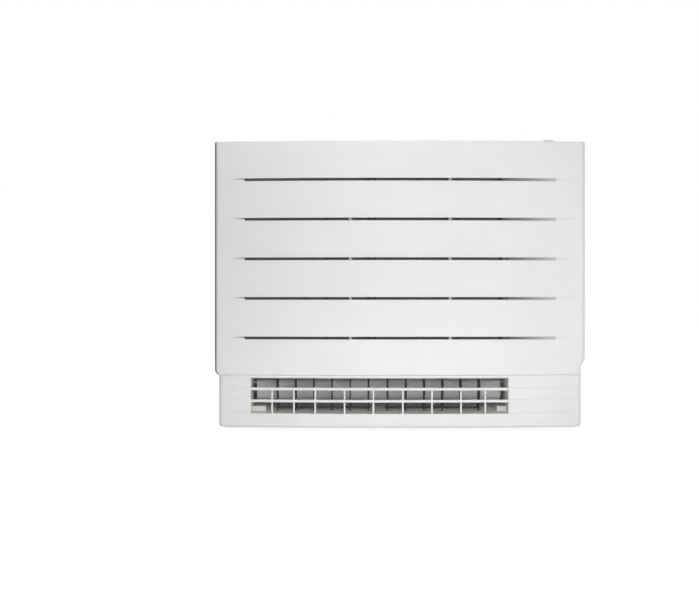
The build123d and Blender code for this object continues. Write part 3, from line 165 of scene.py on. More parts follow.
# A sparked mould's grain is about 0.1 mm; it is drawn at 0.4 to 1.1 mm, the finest that shows here,
# and the motor's dipped coat at 2.4 mm. A grain's depth is a share of its width. Dust lies in
# patches on what faces up.
grainDepth = 0.12
dustForm = {"patchMm": 14.0, "least": 0.3, "upward": (0.75, 1.0)}
plasticFields = ("name", "colour", "drift", "driftMm", "dust", "dustShare", "sheenMm", "roughness",
                 "grainMm", "grainStrength", "ior")
plastics = {
    # ABS front: fine satin grain, hardly any drift of tone
    "panel_white": ("absPanelSatinMoulded", "#eeeeed", "#eaeae9", 160.0, "#dddad4", 0.25, 45.0,
                    (0.4, 0.5), 0.7, 0.12, 1.52),
    # ABS body of the same colour, a little more matt
    "cover_white": ("absCoverSatinMoulded", "#ededec", "#e8e8e6", 130.0, "#d9d5cd", 0.3, 38.0,
                    (0.42, 0.54), 0.8, 0.15, 1.52),
    # high impact polystyrene back: coarser grain and duller
    "casing_white": ("hipsCasingCoarseMoulded", "#e6e5e2", "#dddcd8", 110.0, "#cfcac0", 0.4, 30.0,
                     (0.52, 0.66), 1.1, 0.3, 1.59),
    # ABS grille: thin bars that gather dust on top
    "grille_white": ("absGrilleSatinMoulded", "#ebebea", "#e4e4e2", 60.0, "#d5d1c9", 0.35, 20.0,
                     (0.42, 0.52), 0.7, 0.14, 1.52),
    # glass filled polypropylene vanes: dark, with a dry sheen
    "vane_black": ("polypropyleneVaneMoulded", "#2b2c2e", "#343537", 18.0, "#5f5c57", 0.3, 9.0,
                   (0.45, 0.62), 0.6, 0.25, 1.49),
    # ABS shutter and polystyrene duct: pale and matt, so that they pass the light on
    "shutter_grey": ("absShutterMoulded", "#f3f3f2", "#ededeb", 45.0, "#d6d2c9", 0.35, 22.0,
                     (0.45, 0.58), 0.7, 0.16, 1.52),
    "duct_grey": ("polystyreneDuctMoulded", "#f1f1ef", "#eaeae7", 50.0, "#d2cec5", 0.45, 25.0,
                  (0.5, 0.64), 0.8, 0.2, 1.59),
    # polystyrene scroll and bell mouth: mid grey, dusty where the air turns
    "chamber_grey": ("polystyreneChamberMoulded", "#8f9191", "#838585", 40.0, "#7a776f", 0.5, 20.0,
                     (0.55, 0.7), 0.9, 0.25, 1.59),
    # glass filled styrene acrylonitrile: a little clearer and shinier than the chamber
    "fan_grey": ("sanFanMoulded", "#6e7478", "#62686c", 30.0, "#8a867d", 0.5, 16.0,
                 (0.35, 0.5), 0.6, 0.18, 1.57),
    # phenolic resin: hard, near black and slightly glossy
    "terminal_black": ("phenolicTerminalMoulded", "#232425", "#2d2e30", 9.0, "#4a4844", 0.3, 5.0,
                       (0.3, 0.42), 0.4, 0.2, 1.62),
    # polypropylene filter frame: waxy grey with lint on its ribs
    "filter_grey": ("polypropyleneFilterMoulded", "#6d7073", "#777a7d", 25.0, "#8b877f", 0.4, 12.0,
                    (0.5, 0.64), 0.7, 0.2, 1.49),
    # baked varnish over the motor's resin can, with the pull of a dipped coat
    "motor_coat": ("resinMotorDipped", "#3a3d3c", "#474a48", 22.0, "#5f5c55", 0.4, 8.0,
                   (0.28, 0.44), 2.4, 0.35, 1.55),
}


def mouldedPlastic(look, layers):
    # Injection moulded: a slow drift of tone across the piece, a sparked mould's fine grain, and
    # a sheen that changes where hands and dust have been.
    material, tree, shader, place = startMaterial(look["name"], {"IOR": look["ior"]})
    drift = noiseAt(tree, place, look["driftMm"], 3.0)
    normal = addNode(tree, "NewGeometry").outputs["Normal"]
    upward = addNode(tree, "SeparateXYZ", {"Vector": normal}).outputs["Z"]
    lying = addNode(tree, "MapRange", {"Value": upward, "From Min": dustForm["upward"][0],
                                       "From Max": dustForm["upward"][1],
                                       "To Max": look["dustShare"]}).outputs[0]
    patches = noiseAt(tree, place, dustForm["patchMm"], 5.0, dustForm["least"])
    patchy = addNode(tree, "Math", {0: lying, 1: patches}, times).outputs[0]
    # extra layers go on top: for the panel, the painted shade in its blind troughs
    layers = [(share(tree, place), colour) for share, colour in layers]
    coatShader(tree, shader, look["colour"], [(drift, look["drift"]), (patchy, look["dust"]), *layers],
               noiseAt(tree, place, look["grainMm"]), (look["grainStrength"], look["grainMm"] * grainDepth),
               noiseAt(tree, place, look["sheenMm"], 4.0, *look["roughness"]))
    return material


# the panel's blind troughs get their painted shade as one more layer
moreLayers = {"panel_white": [(paintedTroughShadeShare, paintedTroughShadeForm["colour"])]}
finishes = {slotName: mouldedPlastic(dict(zip(plasticFields, row)), moreLayers.get(slotName, []))
            for slotName, row in plastics.items()}


def smokedLens():
    # Acrylic lens, smoked in the mass and polished: near black, with fine wiping marks.
    look = {"colour": "#0d0e10", "mark": "#1b1c20", "markMm": 3.0, "wipeMm": 0.8, "roughness": (0.06, 0.16)}
    material, tree, shader, place = startMaterial("acrylicLensPolished", {"IOR": 1.49, "Coat Weight": 0.6})
    coatShader(tree, shader, look["colour"], [(noiseAt(tree, place, look["markMm"], 6.0), look["mark"])],
               noiseAt(tree, place, look["wipeMm"], 3.0), (0.05, 0.05),
               noiseAt(tree, place, look["markMm"], 5.0, *look["roughness"]))
    return material


def galvanisedSheet():
    # Hot dipped zinc on steel: crystals about 9 mm wide, each with its own grey and gloss.
    look = {"bright": "#b9bdc0", "dull": "#8d9296", "crystalMm": 9.0, "wanderMm": 5.0, "bendMm": 4.0,
            "roughness": (0.28, 0.5)}
    material, tree, shader, place = startMaterial("zincDippedSteel", {"Metallic": 1.0})
    wander = addNode(tree, "TexNoise", {"Vector": place, "Scale": 1 / (look["wanderMm"] * metre)})
    bent = addNode(tree, "VectorMath", {0: wander.outputs["Color"], 1: [look["bendMm"] * metre] * 3,
                                        2: place}, timesPlus).outputs[0]
    crystal = addNode(tree, "TexVoronoi", {"Vector": bent, "Scale": 1 / (look["crystalMm"] * metre)})
    grey, shine, level = addNode(tree, "SeparateColor", {"Color": crystal.outputs["Color"]}).outputs
    gloss = addNode(tree, "MapRange", {"Value": shine, "To Min": look["roughness"][0],
                                       "To Max": look["roughness"][1]}).outputs[0]
    coatShader(tree, shader, look["bright"], [(grey, look["dull"])], level, (0.15, 0.02), gloss)
    return material


metalFields = ("name", "colour", "tarnish", "stretch", "lineMm", "patchMm", "roughness", "lineStrength")
metals = {
    # rolled fin stock: faint lines along the sheet, dulled by its coating
    "fin_aluminium": ("aluminiumFinRolled", "#c9cbcd", "#aeb3b6", (1.0, 1.0, 0.08), 0.8, 40.0,
                      (0.34, 0.5), 0.3),
    # soft drawn tube: bright salmon that browns where it has been held
    "drawn_copper": ("copperTubeDrawn", "#d98a63", "#9c5a3d", (1.0, 1.0, 0.2), 0.5, 16.0,
                     (0.22, 0.42), 0.2),
    # turned on a lathe along Y: rings about 0.4 mm apart
    "turned_brass": ("brassNutTurned", "#d1b068", "#a5854a", (0.1, 1.0, 0.1), 0.4, 8.0,
                     (0.2, 0.36), 0.4),
}


def drawnMetal(look):
    # Drawn, rolled or turned metal: fine lines from the tool, and tarnish in soft patches.
    material, tree, shader, place = startMaterial(look["name"], {"Metallic": 1.0})
    along = addNode(tree, "Mapping", {"Vector": place, "Scale": look["stretch"]})
    tarnish = noiseAt(tree, place, look["patchMm"], 5.0)
    low, high = look["roughness"]
    gloss = addNode(tree, "Math", {0: tarnish, 1: high - low, 2: low}, timesPlus).outputs[0]
    coatShader(tree, shader, look["colour"], [(tarnish, look["tarnish"])],
               noiseAt(tree, along.outputs[0], look["lineMm"], 3.0), (look["lineStrength"], 0.03), gloss)
    return material


def wovenNet():
    # Woven polypropylene filter net: threads 1.2 mm apart both ways, raised where they cross.
    # The real spacing is about 0.9 mm; it is drawn a little coarser so that it shows.
    look = {"thread": "#a5a9ac", "gap": "#73777a", "dust": "#aaa79f", "pitchMm": 1.2, "edge": (0.72, 0.9),
            "lintMm": 30.0, "lintShare": 0.35}
    material, tree, shader, place = startMaterial("polypropyleneNetWoven", {"IOR": 1.49, "Roughness": 0.62})
    parts = addNode(tree, "SeparateXYZ", {"Vector": place})
    waves = []
    for axis in ("X", "Z"):
        turns = addNode(tree, "Math", {0: parts.outputs[axis],
                                       1: math.pi / (look["pitchMm"] * metre)}, times).outputs[0]
        wave = addNode(tree, "Math", {0: turns}, {"operation": "SINE"}).outputs[0]
        waves.append(addNode(tree, "Math", {0: wave}, {"operation": "ABSOLUTE"}).outputs[0])
    thread = addNode(tree, "Math", {0: waves[0], 1: waves[1]}, {"operation": "MAXIMUM"}).outputs[0]
    share = addNode(tree, "MapRange", {"Value": thread, "From Min": look["edge"][0],
                                       "From Max": look["edge"][1]})
    lint = noiseAt(tree, place, look["lintMm"], 5.0, 0.0, look["lintShare"])
    coatShader(tree, shader, look["gap"], [(share.outputs[0], look["thread"]), (lint, look["dust"])],
               thread, (0.6, 0.2))
    return material


def ribbedHose():
    # Extruded polyethylene hose: waxy grey, scuffed in soft patches.
    look = {"colour": "#c3c4c2", "worn": "#a9aaa6", "patchMm": 26.0, "sheenMm": 9.0, "scuffMm": 1.6,
            "roughness": (0.38, 0.55)}
    material, tree, shader, place = startMaterial("polyethyleneHoseExtruded",
                                                  {"IOR": 1.51, "Subsurface Weight": 0.05})
    coatShader(tree, shader, look["colour"], [(noiseAt(tree, place, look["patchMm"], 4.0), look["worn"])],
               noiseAt(tree, place, look["scuffMm"], 4.0), (0.3, 0.15),
               noiseAt(tree, place, look["sheenMm"], 3.0, *look["roughness"]))
    return material


def printedBoard():
    # Epoxy glass board under green lacquer: copper tracks show as paler lines, pads as tinned dots.
    look = {"lacquer": "#1f5a35", "track": "#2f7a48", "pad": "#b9bcb6", "pitchMm": 2.54, "sheenMm": 12.0,
            "cellPitches": 4, "trackStep": 0.09, "trackEdge": (0.045, 0.055), "padEdge": (0.22, 0.18)}
    material, tree, shader, place = startMaterial("epoxyBoardLacquered", {"IOR": 1.55, "Coat Weight": 0.3})
    tracks = addNode(tree, "TexVoronoi",
                     {"Vector": place, "Scale": 1 / (look["cellPitches"] * look["pitchMm"] * metre)},
                     {"distance": "CHEBYCHEV"})
    step = addNode(tree, "Math", {0: tracks.outputs["Distance"], 1: look["trackStep"]},
                   {"operation": "PINGPONG"}).outputs[0]
    dots = addNode(tree, "TexVoronoi", {"Vector": place, "Randomness": 0.25,
                                        "Scale": 1 / (look["pitchMm"] * metre)})
    line, pad = (addNode(tree, "MapRange", {"Value": value, "From Min": start, "From Max": stop}).outputs[0]
                 for value, (start, stop) in ((step, look["trackEdge"]),
                                              (dots.outputs["Distance"], look["padEdge"])))
    coatShader(tree, shader, look["lacquer"], [(line, look["track"]), (pad, look["pad"])], line,
               (0.3, 0.03), noiseAt(tree, place, look["sheenMm"], 3.0, 0.25, 0.42))
    return material


finishes.update({slotName: drawnMetal(dict(zip(metalFields, row))) for slotName, row in metals.items()})
finishes.update({"galvanised_steel": galvanisedSheet(), "lens_dark": smokedLens(),
                 "net_black": wovenNet(), "hose_grey": ribbedHose(), "board_green": printedBoard()})
for node in frame["nodes"].values():
    for holder in node.material_slots:
        holder.material = finishes[holder.material.name]
print("materials made:", len(finishes))


def bowY(x, depth=0.0):
    # The front is an arc in plan. Its Y is the middle's and the radius, less the root of the square
    # of (radius less depth) less x squared.
    radius = bodyForm["bowRadius"]
    return bodyForm["frontY"] + radius - np.sqrt((radius - depth) ** 2 - np.asarray(x) ** 2)


def openMesh(name, points, faces):
    # a new mesh from points in millimetres, and its editable copy with the doubles merged
    mesh = bpy.data.meshes.new(name)
    mesh.from_pydata((points * metre).tolist(), [], faces)
    work = bmesh.new()
    work.from_mesh(mesh)
    bmesh.ops.remove_doubles(work, verts=work.verts, dist=smallest * metre)
    return mesh, work


def makePiece(name, parts, body, slotName, replaced):
    # joins parts of (points, faces) into one object, merges doubles, points faces outwards
    points, faces, start = [], [], 0
    for partPoints, partFaces in parts:
        points.append(np.asarray(partPoints).reshape(-1, 3))
        faces += [[start + k for k in face] for face in partFaces]
        start += len(points[-1])
    mesh, work = openMesh(name, np.vstack(points), faces)
    bmesh.ops.dissolve_degenerate(work, edges=work.edges, dist=smallest * metre / 2)
    bmesh.ops.recalc_face_normals(work, faces=work.faces)
    work.to_mesh(mesh)
    work.free()
    mesh.polygons.foreach_set("use_smooth", np.ones(len(mesh.polygons), dtype=bool))
    mesh.set_sharp_from_angle(angle=creaseAngle)
    mesh.materials.append(finishes[slotName])
    piece = placeObject(name, mesh)
    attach(piece, body)
    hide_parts(*replaced)
    return piece


def addBevel(piece, width):
    bevel = piece.modifiers.new("edges", "BEVEL")
    bevel.width = width * metre
    bevel.segments = bevelForm["segments"]
    bevel.limit_method = "ANGLE"
    bevel.angle_limit = bevelForm["angle"]


def closedWall(outer, inner, kept):
    # Two grids of points made one wall: the outer skin, the inner skin turned round, and a strip
    # along every grid line where only one of the two cells beside it is kept.
    rows, columns = outer.shape[:2]
    count = rows * columns
    index = np.arange(count).reshape(rows, columns)
    a, b, c, d = index[:-1, :-1], index[:-1, 1:], index[1:, 1:], index[1:, :-1]
    faces = [np.stack([a, b, c, d], -1)[kept], np.stack([a, d, c, b], -1)[kept] + count]
    around = np.pad(kept, 1)
    for near, far, p, q in ((around[1:, 1:-1], around[:-1, 1:-1], index[:, :-1], index[:, 1:]),
                            (around[1:-1, :-1], around[1:-1, 1:], index[:-1, :], index[1:, :])):
        rim = np.stack([q, p, p + count, q + count], -1)
        faces.append(rim[near & ~far])
        faces.append(rim[far & ~near][:, ::-1])
    return np.concatenate([outer.reshape(-1, 3), inner.reshape(-1, 3)]), np.concatenate(faces).tolist()


def closedTube(rings):
    # rings of points, one after the other, joined by quads and closed by one face at each end
    steps, sides = rings.shape[:2]
    index = np.arange(steps * sides).reshape(steps, sides)
    turned = np.roll(index, -1, axis=1)
    walls = np.stack([index[:-1], turned[:-1], turned[1:], index[1:]], -1).reshape(-1, 4).tolist()
    return rings.reshape(-1, 3), walls + [index[0][::-1].tolist(), index[-1].tolist()]


def roundedBox(halfWide, halfHigh, radius):
    # corner points of a rectangle with quarter circles at its corners, anticlockwise
    turn = np.linspace(0, math.pi / 2, 5)
    corners = []
    for k, (sideX, sideY) in enumerate(((1, 1), (-1, 1), (-1, -1), (1, -1))):
        angle = turn + k * math.pi / 2
        corners.append(np.stack([sideX * (halfWide - radius) + radius * np.cos(angle),
                                 sideY * (halfHigh - radius) + radius * np.sin(angle)], -1))
    return np.concatenate(corners)


def bowedBar(depths, heights, ends, radius, stepMm=9.0):
    # a rounded section carried round the bow: depth turns to Y by the bow's own formula at each x
    section = roundedBox((depths[1] - depths[0]) / 2, (heights[1] - heights[0]) / 2, radius)
    depth = section[:, 0] + sum(depths) / 2
    high = section[:, 1] + sum(heights) / 2
    xs = np.linspace(*ends, max(2, int((ends[1] - ends[0]) / stepMm) + 1))
    x, across = np.meshgrid(xs, depth, indexing="ij")
    return closedTube(np.stack([x, bowY(x, across), np.broadcast_to(high, x.shape)], -1))


def standingBar(x, y, halfWide, halfDeep, ends, radius, taper=0.0):
    # a rounded section in plan carried up Z, narrowed by the draft angle that lets it leave its mould
    section = roundedBox(halfWide, halfDeep, radius)
    zs = np.linspace(*ends, 5)
    narrow = 1 - taper * (zs - zs[0]) / (zs[-1] - zs[0])
    rings = np.zeros((len(zs), len(section), 3))
    rings[..., 0] = x + section[:, 0] * narrow[:, None]
    rings[..., 1] = y + section[:, 1]
    rings[..., 2] = zs[:, None]
    return closedTube(rings)


def sideBar(outline, ends):
    # an outline of (y, z) points carried along X
    outline = np.asarray(outline, dtype=float)
    rings = np.zeros((2, len(outline), 3))
    rings[:, :, 0] = np.array(ends)[:, None]
    rings[:, :, 1:] = outline
    return closedTube(rings)


def roundAt(y, z, radius, turns):
    # points on a circle in side view, at these turns from straight back
    return [(y + radius * math.cos(turn), z + radius * math.sin(turn)) for turn in turns]


def fullTurn(steps):
    return np.linspace(0, 2 * math.pi, steps + 1)[:-1]


def roundEdge(size, steps):
    # a rounded edge as rows of (distance from the end, inset), round a quarter circle of this size
    return [(size * (1 - math.cos(turn)), size * (1 - math.sin(turn)))
            for turn in np.linspace(0, math.pi / 2, steps)]


def bothEnds(side, corner, middle):
    # a corner's numbers at the left, with their sign, the middle's, and the corner's turned round
    return np.concatenate([side * corner, middle, corner[::-1]])


def planStations(half, radius, rear, bowStations):
    # The wrap of a front in plan, from the left rear corner round to the right rear corner: a side
    # along Y, a corner arc tangent to the side and the bow, the bow, and the same back again. Gives
    # each station's point, outward normal, side (-1, 0, 1) and the x by which its region is told.
    reach = bodyForm["bowRadius"] - radius
    centreX = half - radius
    centreY = bodyForm["frontY"] + bodyForm["bowRadius"] - math.sqrt(reach ** 2 - centreX ** 2)
    lean = math.acos(centreX / reach)
    turn = np.linspace(0, lean, 9)
    side = np.linspace(rear, centreY, 5)[:-1]
    cornerX = np.concatenate([np.full(len(side), half), centreX + radius * np.cos(turn)])
    cornerY = np.concatenate([side, centreY - radius * np.sin(turn)])
    normalX = np.concatenate([np.ones(len(side)), np.cos(turn)])
    normalY = np.concatenate([np.zeros(len(side)), -np.sin(turn)])
    bow = np.array(bowStations)
    bowNormal = bow[:, 0] / bodyForm["bowRadius"]
    return {"x": bothEnds(-1, cornerX, bow[:, 0]), "y": bothEnds(1, cornerY, bowY(bow[:, 0])),
            "nx": bothEnds(-1, normalX, bowNormal),
            "ny": bothEnds(1, normalY, -np.sqrt(1 - bowNormal ** 2)),
            "flank": bothEnds(-1, np.ones(len(cornerX)), np.zeros(len(bow))),
            "told": bothEnds(-1, cornerX, bow[:, 1])}


stationForm = {"pitch": 9.0, "margin": 3.0, "nearest": 1.5, "sides": 0.01}


def bowStationsOf(seam, steps, plain):
    # x of the bow's stations: an even row that keeps off the others, the plain ones, and two at each
    # step, told a hundredth to its left and to its right
    limit, pitch = seam - stationForm["margin"], stationForm["pitch"]
    pairs = {(round(x, 3), round(x, 3)) for x in np.arange(-limit, limit + 1, pitch)}
    pairs = {pair for pair in pairs
             if all(abs(pair[0] - x) > stationForm["nearest"] for x in (*steps, *plain))}
    pairs |= {(x, x) for x in plain}
    for x in steps:
        pairs |= {(x, x - stationForm["sides"]), (x, x + stationForm["sides"])}
    return sorted(pairs)


def raisePoints(stations, z, inset):
    # a row of the wrap, moved inwards along the plan's normal by the inset
    x = stations["x"] - inset * stations["nx"]
    y = stations["y"] - inset * stations["ny"]
    return np.stack([x, y, np.broadcast_to(z, x.shape)], -1)


def flatPlate(edge, rear, shares, z):
    # rows of a flat plate from an edge straight back to Y = rear
    goal = np.maximum(edge[:, 1], rear)
    rows = []
    for share in shares:
        row = edge.copy()
        row[:, 1] = edge[:, 1] + share * (goal - edge[:, 1])
        row[:, 2] = z
        rows.append(row)
    return rows


def withPlates(rows, rears, shares, heights):
    # a skin's rows with a flat plate behind the lowest and another behind the highest
    return (flatPlate(rows[0], rears[0], shares[0], heights[0]) + rows
            + flatPlate(rows[-1], rears[1], shares[1], heights[1]))


# Front panel: a bowed tray with five slots, two ties behind them and a hinge arm at each side.
panelForm = {"half": 375.0, "low": 115.7, "high": 586.5, "rear": -84.0, "lipRear": -100.0,
             "sideRadius": 10.0, "edge": 2.2, "lowEdge": 0.6, "cornerRadius": 8.0, "slant": (134.5, 145.5),
             "slotTop": 509.0, "slotPitch": 79.7, "slotHeight": 5.2, "bevel": 1.6, "bead": 0.5,
             "openEnd": 313.5, "tip": 354.0, "tipHeight": 1.4, "grooveDepth": 2.5,
             "blindStart": (206.0, 206.0, 219.0, 219.0, 219.0), "blindDepth": (9.0, 3.0),
             "blindWall": 1.6, "grooveEdge": 0.3, "grooveUnder": 0.1, "breaks": (123.0, 129.0),
             "cutBack": 0.95, "tieX": 100.0, "tieHalf": 3.5, "tieDepth": (1.8, 8.0), "tieMargin": 7.0,
             "tieRadius": 1.1, "hingeX": 150.0, "hingeY": -109.0, "hingeZ": 139.0, "armHalf": 2.0,
             "eye": 3.6, "pin": (2.0, 6.0), "sunk": 0.5}


def panelShift(z):
    # how far the panel's ends draw in at a height: a rounded lower left corner and a slant at the right
    form = panelForm
    fall = np.clip(form["low"] + form["cornerRadius"] - z, 0, form["cornerRadius"])
    left = form["cornerRadius"] - np.sqrt(form["cornerRadius"] ** 2 - fall ** 2)
    low, high = form["slant"]
    right = (form["half"] - bodyForm["bodyHalf"]) * np.clip((high - z) / (high - low), 0, 1)
    return left, right


def shiftedEnds(points, stations, seam):
    # Moves each end's side and corner inwards along the bow, keeping them on its curve. Where an end
    # is drawn in, its side is also cut back to a stub, so that it swings clear of the cover's side.
    left, right = panelShift(points[..., 2])
    flank = stations["flank"]
    move = np.where(flank < 0, left, 0) - np.where(flank > 0, right, 0)
    start = flank * seam
    share = np.where(flank < 0, left / panelForm["cornerRadius"],
                     right / (panelForm["half"] - bodyForm["bodyHalf"]))
    behind = np.maximum(points[..., 1] - bowY(seam) - bodyForm["wall"], 0)
    back = bowY(start + move) - bowY(start) - panelForm["cutBack"] * share * behind
    points[..., 0] += move
    points[..., 1] += np.where(flank != 0, back, 0)
    return points


def slotRows(stations, number):
    # The rows of one slot, bottom up, each as (outer z, outer inset, inner z, inner inset). The slot
    # is open from its left end to where the blind part starts, then a trough, and at both ends a
    # groove whose height and depth fall in a straight line to the tip, deepest along its top.
    form, wall = panelForm, bodyForm["wall"]
    told, away = stations["told"], np.abs(stations["told"])
    middle = form["slotTop"] - number * form["slotPitch"]
    fade = np.clip((away - form["openEnd"]) / (form["tip"] - form["openEnd"]), 0, 1)
    half = form["slotHeight"] / 2 * (1 - fade) + form["tipHeight"] / 2 * fade
    groove = away > form["openEnd"]
    blind = (told > form["blindStart"][number]) & ~groove
    opened = ~groove & ~blind
    run = np.clip((told - form["blindStart"][number]) / (form["openEnd"] - form["blindStart"][number]), 0, 1)
    trough = form["blindDepth"][0] * (1 - run) + form["blindDepth"][1] * run
    depth = np.select([opened, blind], [wall, trough], form["grooveDepth"] * (1 - fade))
    bevel, bead = (np.where(groove, form["grooveEdge"] * (1 - fade), form[name])
                   for name in ("bevel", "bead"))
    low, high = middle - half, middle + half
    lowDepth = np.where(groove, form["grooveUnder"] * depth, depth)
    zero = np.zeros_like(half)
    lowOut, highOut = low - form["blindWall"], high + form["blindWall"]
    hollow = np.where(blind, depth + form["blindWall"], wall)
    lowIn = np.where(blind, lowOut, low)
    highIn = np.where(blind, highOut, high)
    flat = zero + wall
    return [(lowOut, zero, lowOut, flat), (low, bevel, lowIn, flat), (low, lowDepth, lowIn, hollow),
            (high, depth, highIn, hollow), (high, bead, highIn, flat),
            (high + bead, zero, highIn + bead, flat), (highOut, zero, highOut, flat)], opened


def makePanel():
    form, wall = panelForm, bodyForm["wall"]
    seam = form["half"] - form["sideRadius"]
    steps = sorted({-form["openEnd"], *form["blindStart"], form["openEnd"]})
    places = bowStationsOf(seam, steps, (-form["tip"], form["tip"]))
    stations = planStations(form["half"], form["sideRadius"], form["rear"], places)
    count = len(stations["x"])
    zero, flat = np.zeros(count), np.full(count, wall)
    edge, lowEdge, low, high = form["edge"], form["lowEdge"], form["low"], form["high"]
    rows, slots = [], []
    for rise, inset in roundEdge(lowEdge, 6):
        rows.append((zero + low + rise, zero + inset, zero + max(low + wall, low + rise), flat))
    base = low + lowEdge
    breaks = [*form["breaks"], *form["slant"]]
    for number in reversed(range(len(form["blindStart"]))):
        group, opened = slotRows(stations, number)
        top = float(group[0][0].min())
        between = np.linspace(base, top, 6)[1:-1].tolist() + [z for z in breaks if base < z < top]
        rows += [(zero + z, zero, zero + z, flat) for z in sorted(between)]
        slots.append((len(rows) + 2, opened))       # the slot's own cells are over the third row
        rows += group
        base = float(group[-1][0].max())
    rows += [(zero + z, zero, zero + z, flat) for z in np.linspace(base, high - edge, 6)[1:-1]]
    for fall, inset in roundEdge(edge, 6)[::-1]:
        rows.append((zero + high - fall, zero + inset, zero + min(high - wall, high - fall), flat))
    outer = [shiftedEnds(raisePoints(stations, z, inset), stations, seam) for z, inset, _, _ in rows]
    inner = [shiftedEnds(raisePoints(stations, z, inset), stations, seam) for _, _, z, inset in rows]
    lip, brim = (1.0, 0.5), (0.33, 0.67, 1.0)
    plates = (form["lipRear"], form["rear"]), (lip, brim)
    outer = withPlates(outer, *plates, (low, high))
    inner = withPlates(inner, *plates, (low + wall, high - wall))
    kept = np.ones((len(outer) - 1, count - 1), dtype=bool)
    for row, opened in slots:
        kept[row + len(lip)] = ~(opened[:-1] | opened[1:])
    parts = [closedWall(np.array(outer), np.array(inner), kept)]
    lowest = form["slotTop"] - (len(form["blindStart"]) - 1) * form["slotPitch"] - form["tieMargin"]
    tieY = bowY(form["tieX"]) + sum(form["tieDepth"]) / 2
    tieDeep = (form["tieDepth"][1] - form["tieDepth"][0]) / 2
    for side, number in ((-1, 1), (1, 0)):
        ends = (lowest, form["slotTop"] - number * form["slotPitch"] + form["tieMargin"])
        parts.append(standingBar(side * form["tieX"], tieY, form["tieHalf"], tieDeep, ends,
                                 form["tieRadius"]))
    hinge, (pinRadius, pinLong) = (form["hingeY"], form["hingeZ"]), form["pin"]
    root = float(bowY(form["hingeX"], wall)) - form["sunk"]
    eye = roundAt(*hinge, form["eye"], np.linspace(-math.pi / 2, math.pi / 2, 13))
    arm = [(root, hinge[1] - form["eye"]), *eye, (root, hinge[1] + form["eye"])]
    for side in (-1, 1):
        x = side * form["hingeX"]
        start = x + side * form["armHalf"]
        parts.append(sideBar(arm, (x - form["armHalf"], x + form["armHalf"])))
        parts.append(sideBar(roundAt(*hinge, pinRadius, fullTurn(16)),
                             sorted((start - side * form["sunk"], start + side * pinLong))))
    return makePiece("frontPanel", parts, "front_panel", "panel_white", ("front_panel",))


panel = makePanel()
print("front panel made:", len(panel.data.polygons), "faces")


# Front cover: the shell behind the panel and the bowed lower front.
coverForm = {"half": 366.5, "sideRadius": 10.0, "low": 10.0, "high": 115.3, "rear": -90.0,
             "topEdge": 0.5, "bottomEdge": 4.5, "cornerRadius": 10.0, "gap": 0.4,
             "grooves": (90.2, 66.2, 39.1), "grooveHalf": (1.0, 0.5), "grooveDepth": 0.9,
             "grooveFull": (-330.0, 303.0), "grooveTip": 354.0, "bevel": 0.7, "cutZ": 116.0,
             "rows": (16.0, 17.5, 20.0, 24.0, 31.0, 46.0, 56.0, 74.0, 82.0, 99.0),
             "roof": (0.08, 0.16, 0.24, 0.34, 0.5, 1.0)}


def grooveRows(stations, middle):
    # one fading groove, V shaped: its half height and depth fall in a straight line to the tip
    form, told = coverForm, stations["told"]
    full = np.where(told < 0, -form["grooveFull"][0], form["grooveFull"][1])
    fade = np.clip((np.abs(told) - full) / (form["grooveTip"] - full), 0, 1)
    half = form["grooveHalf"][0] * (1 - fade) + form["grooveHalf"][1] * fade
    depth = form["grooveDepth"] * (1 - fade)
    zero = np.zeros_like(half)
    return [(middle - half, zero), (middle + zero, depth), (middle + half, zero)]


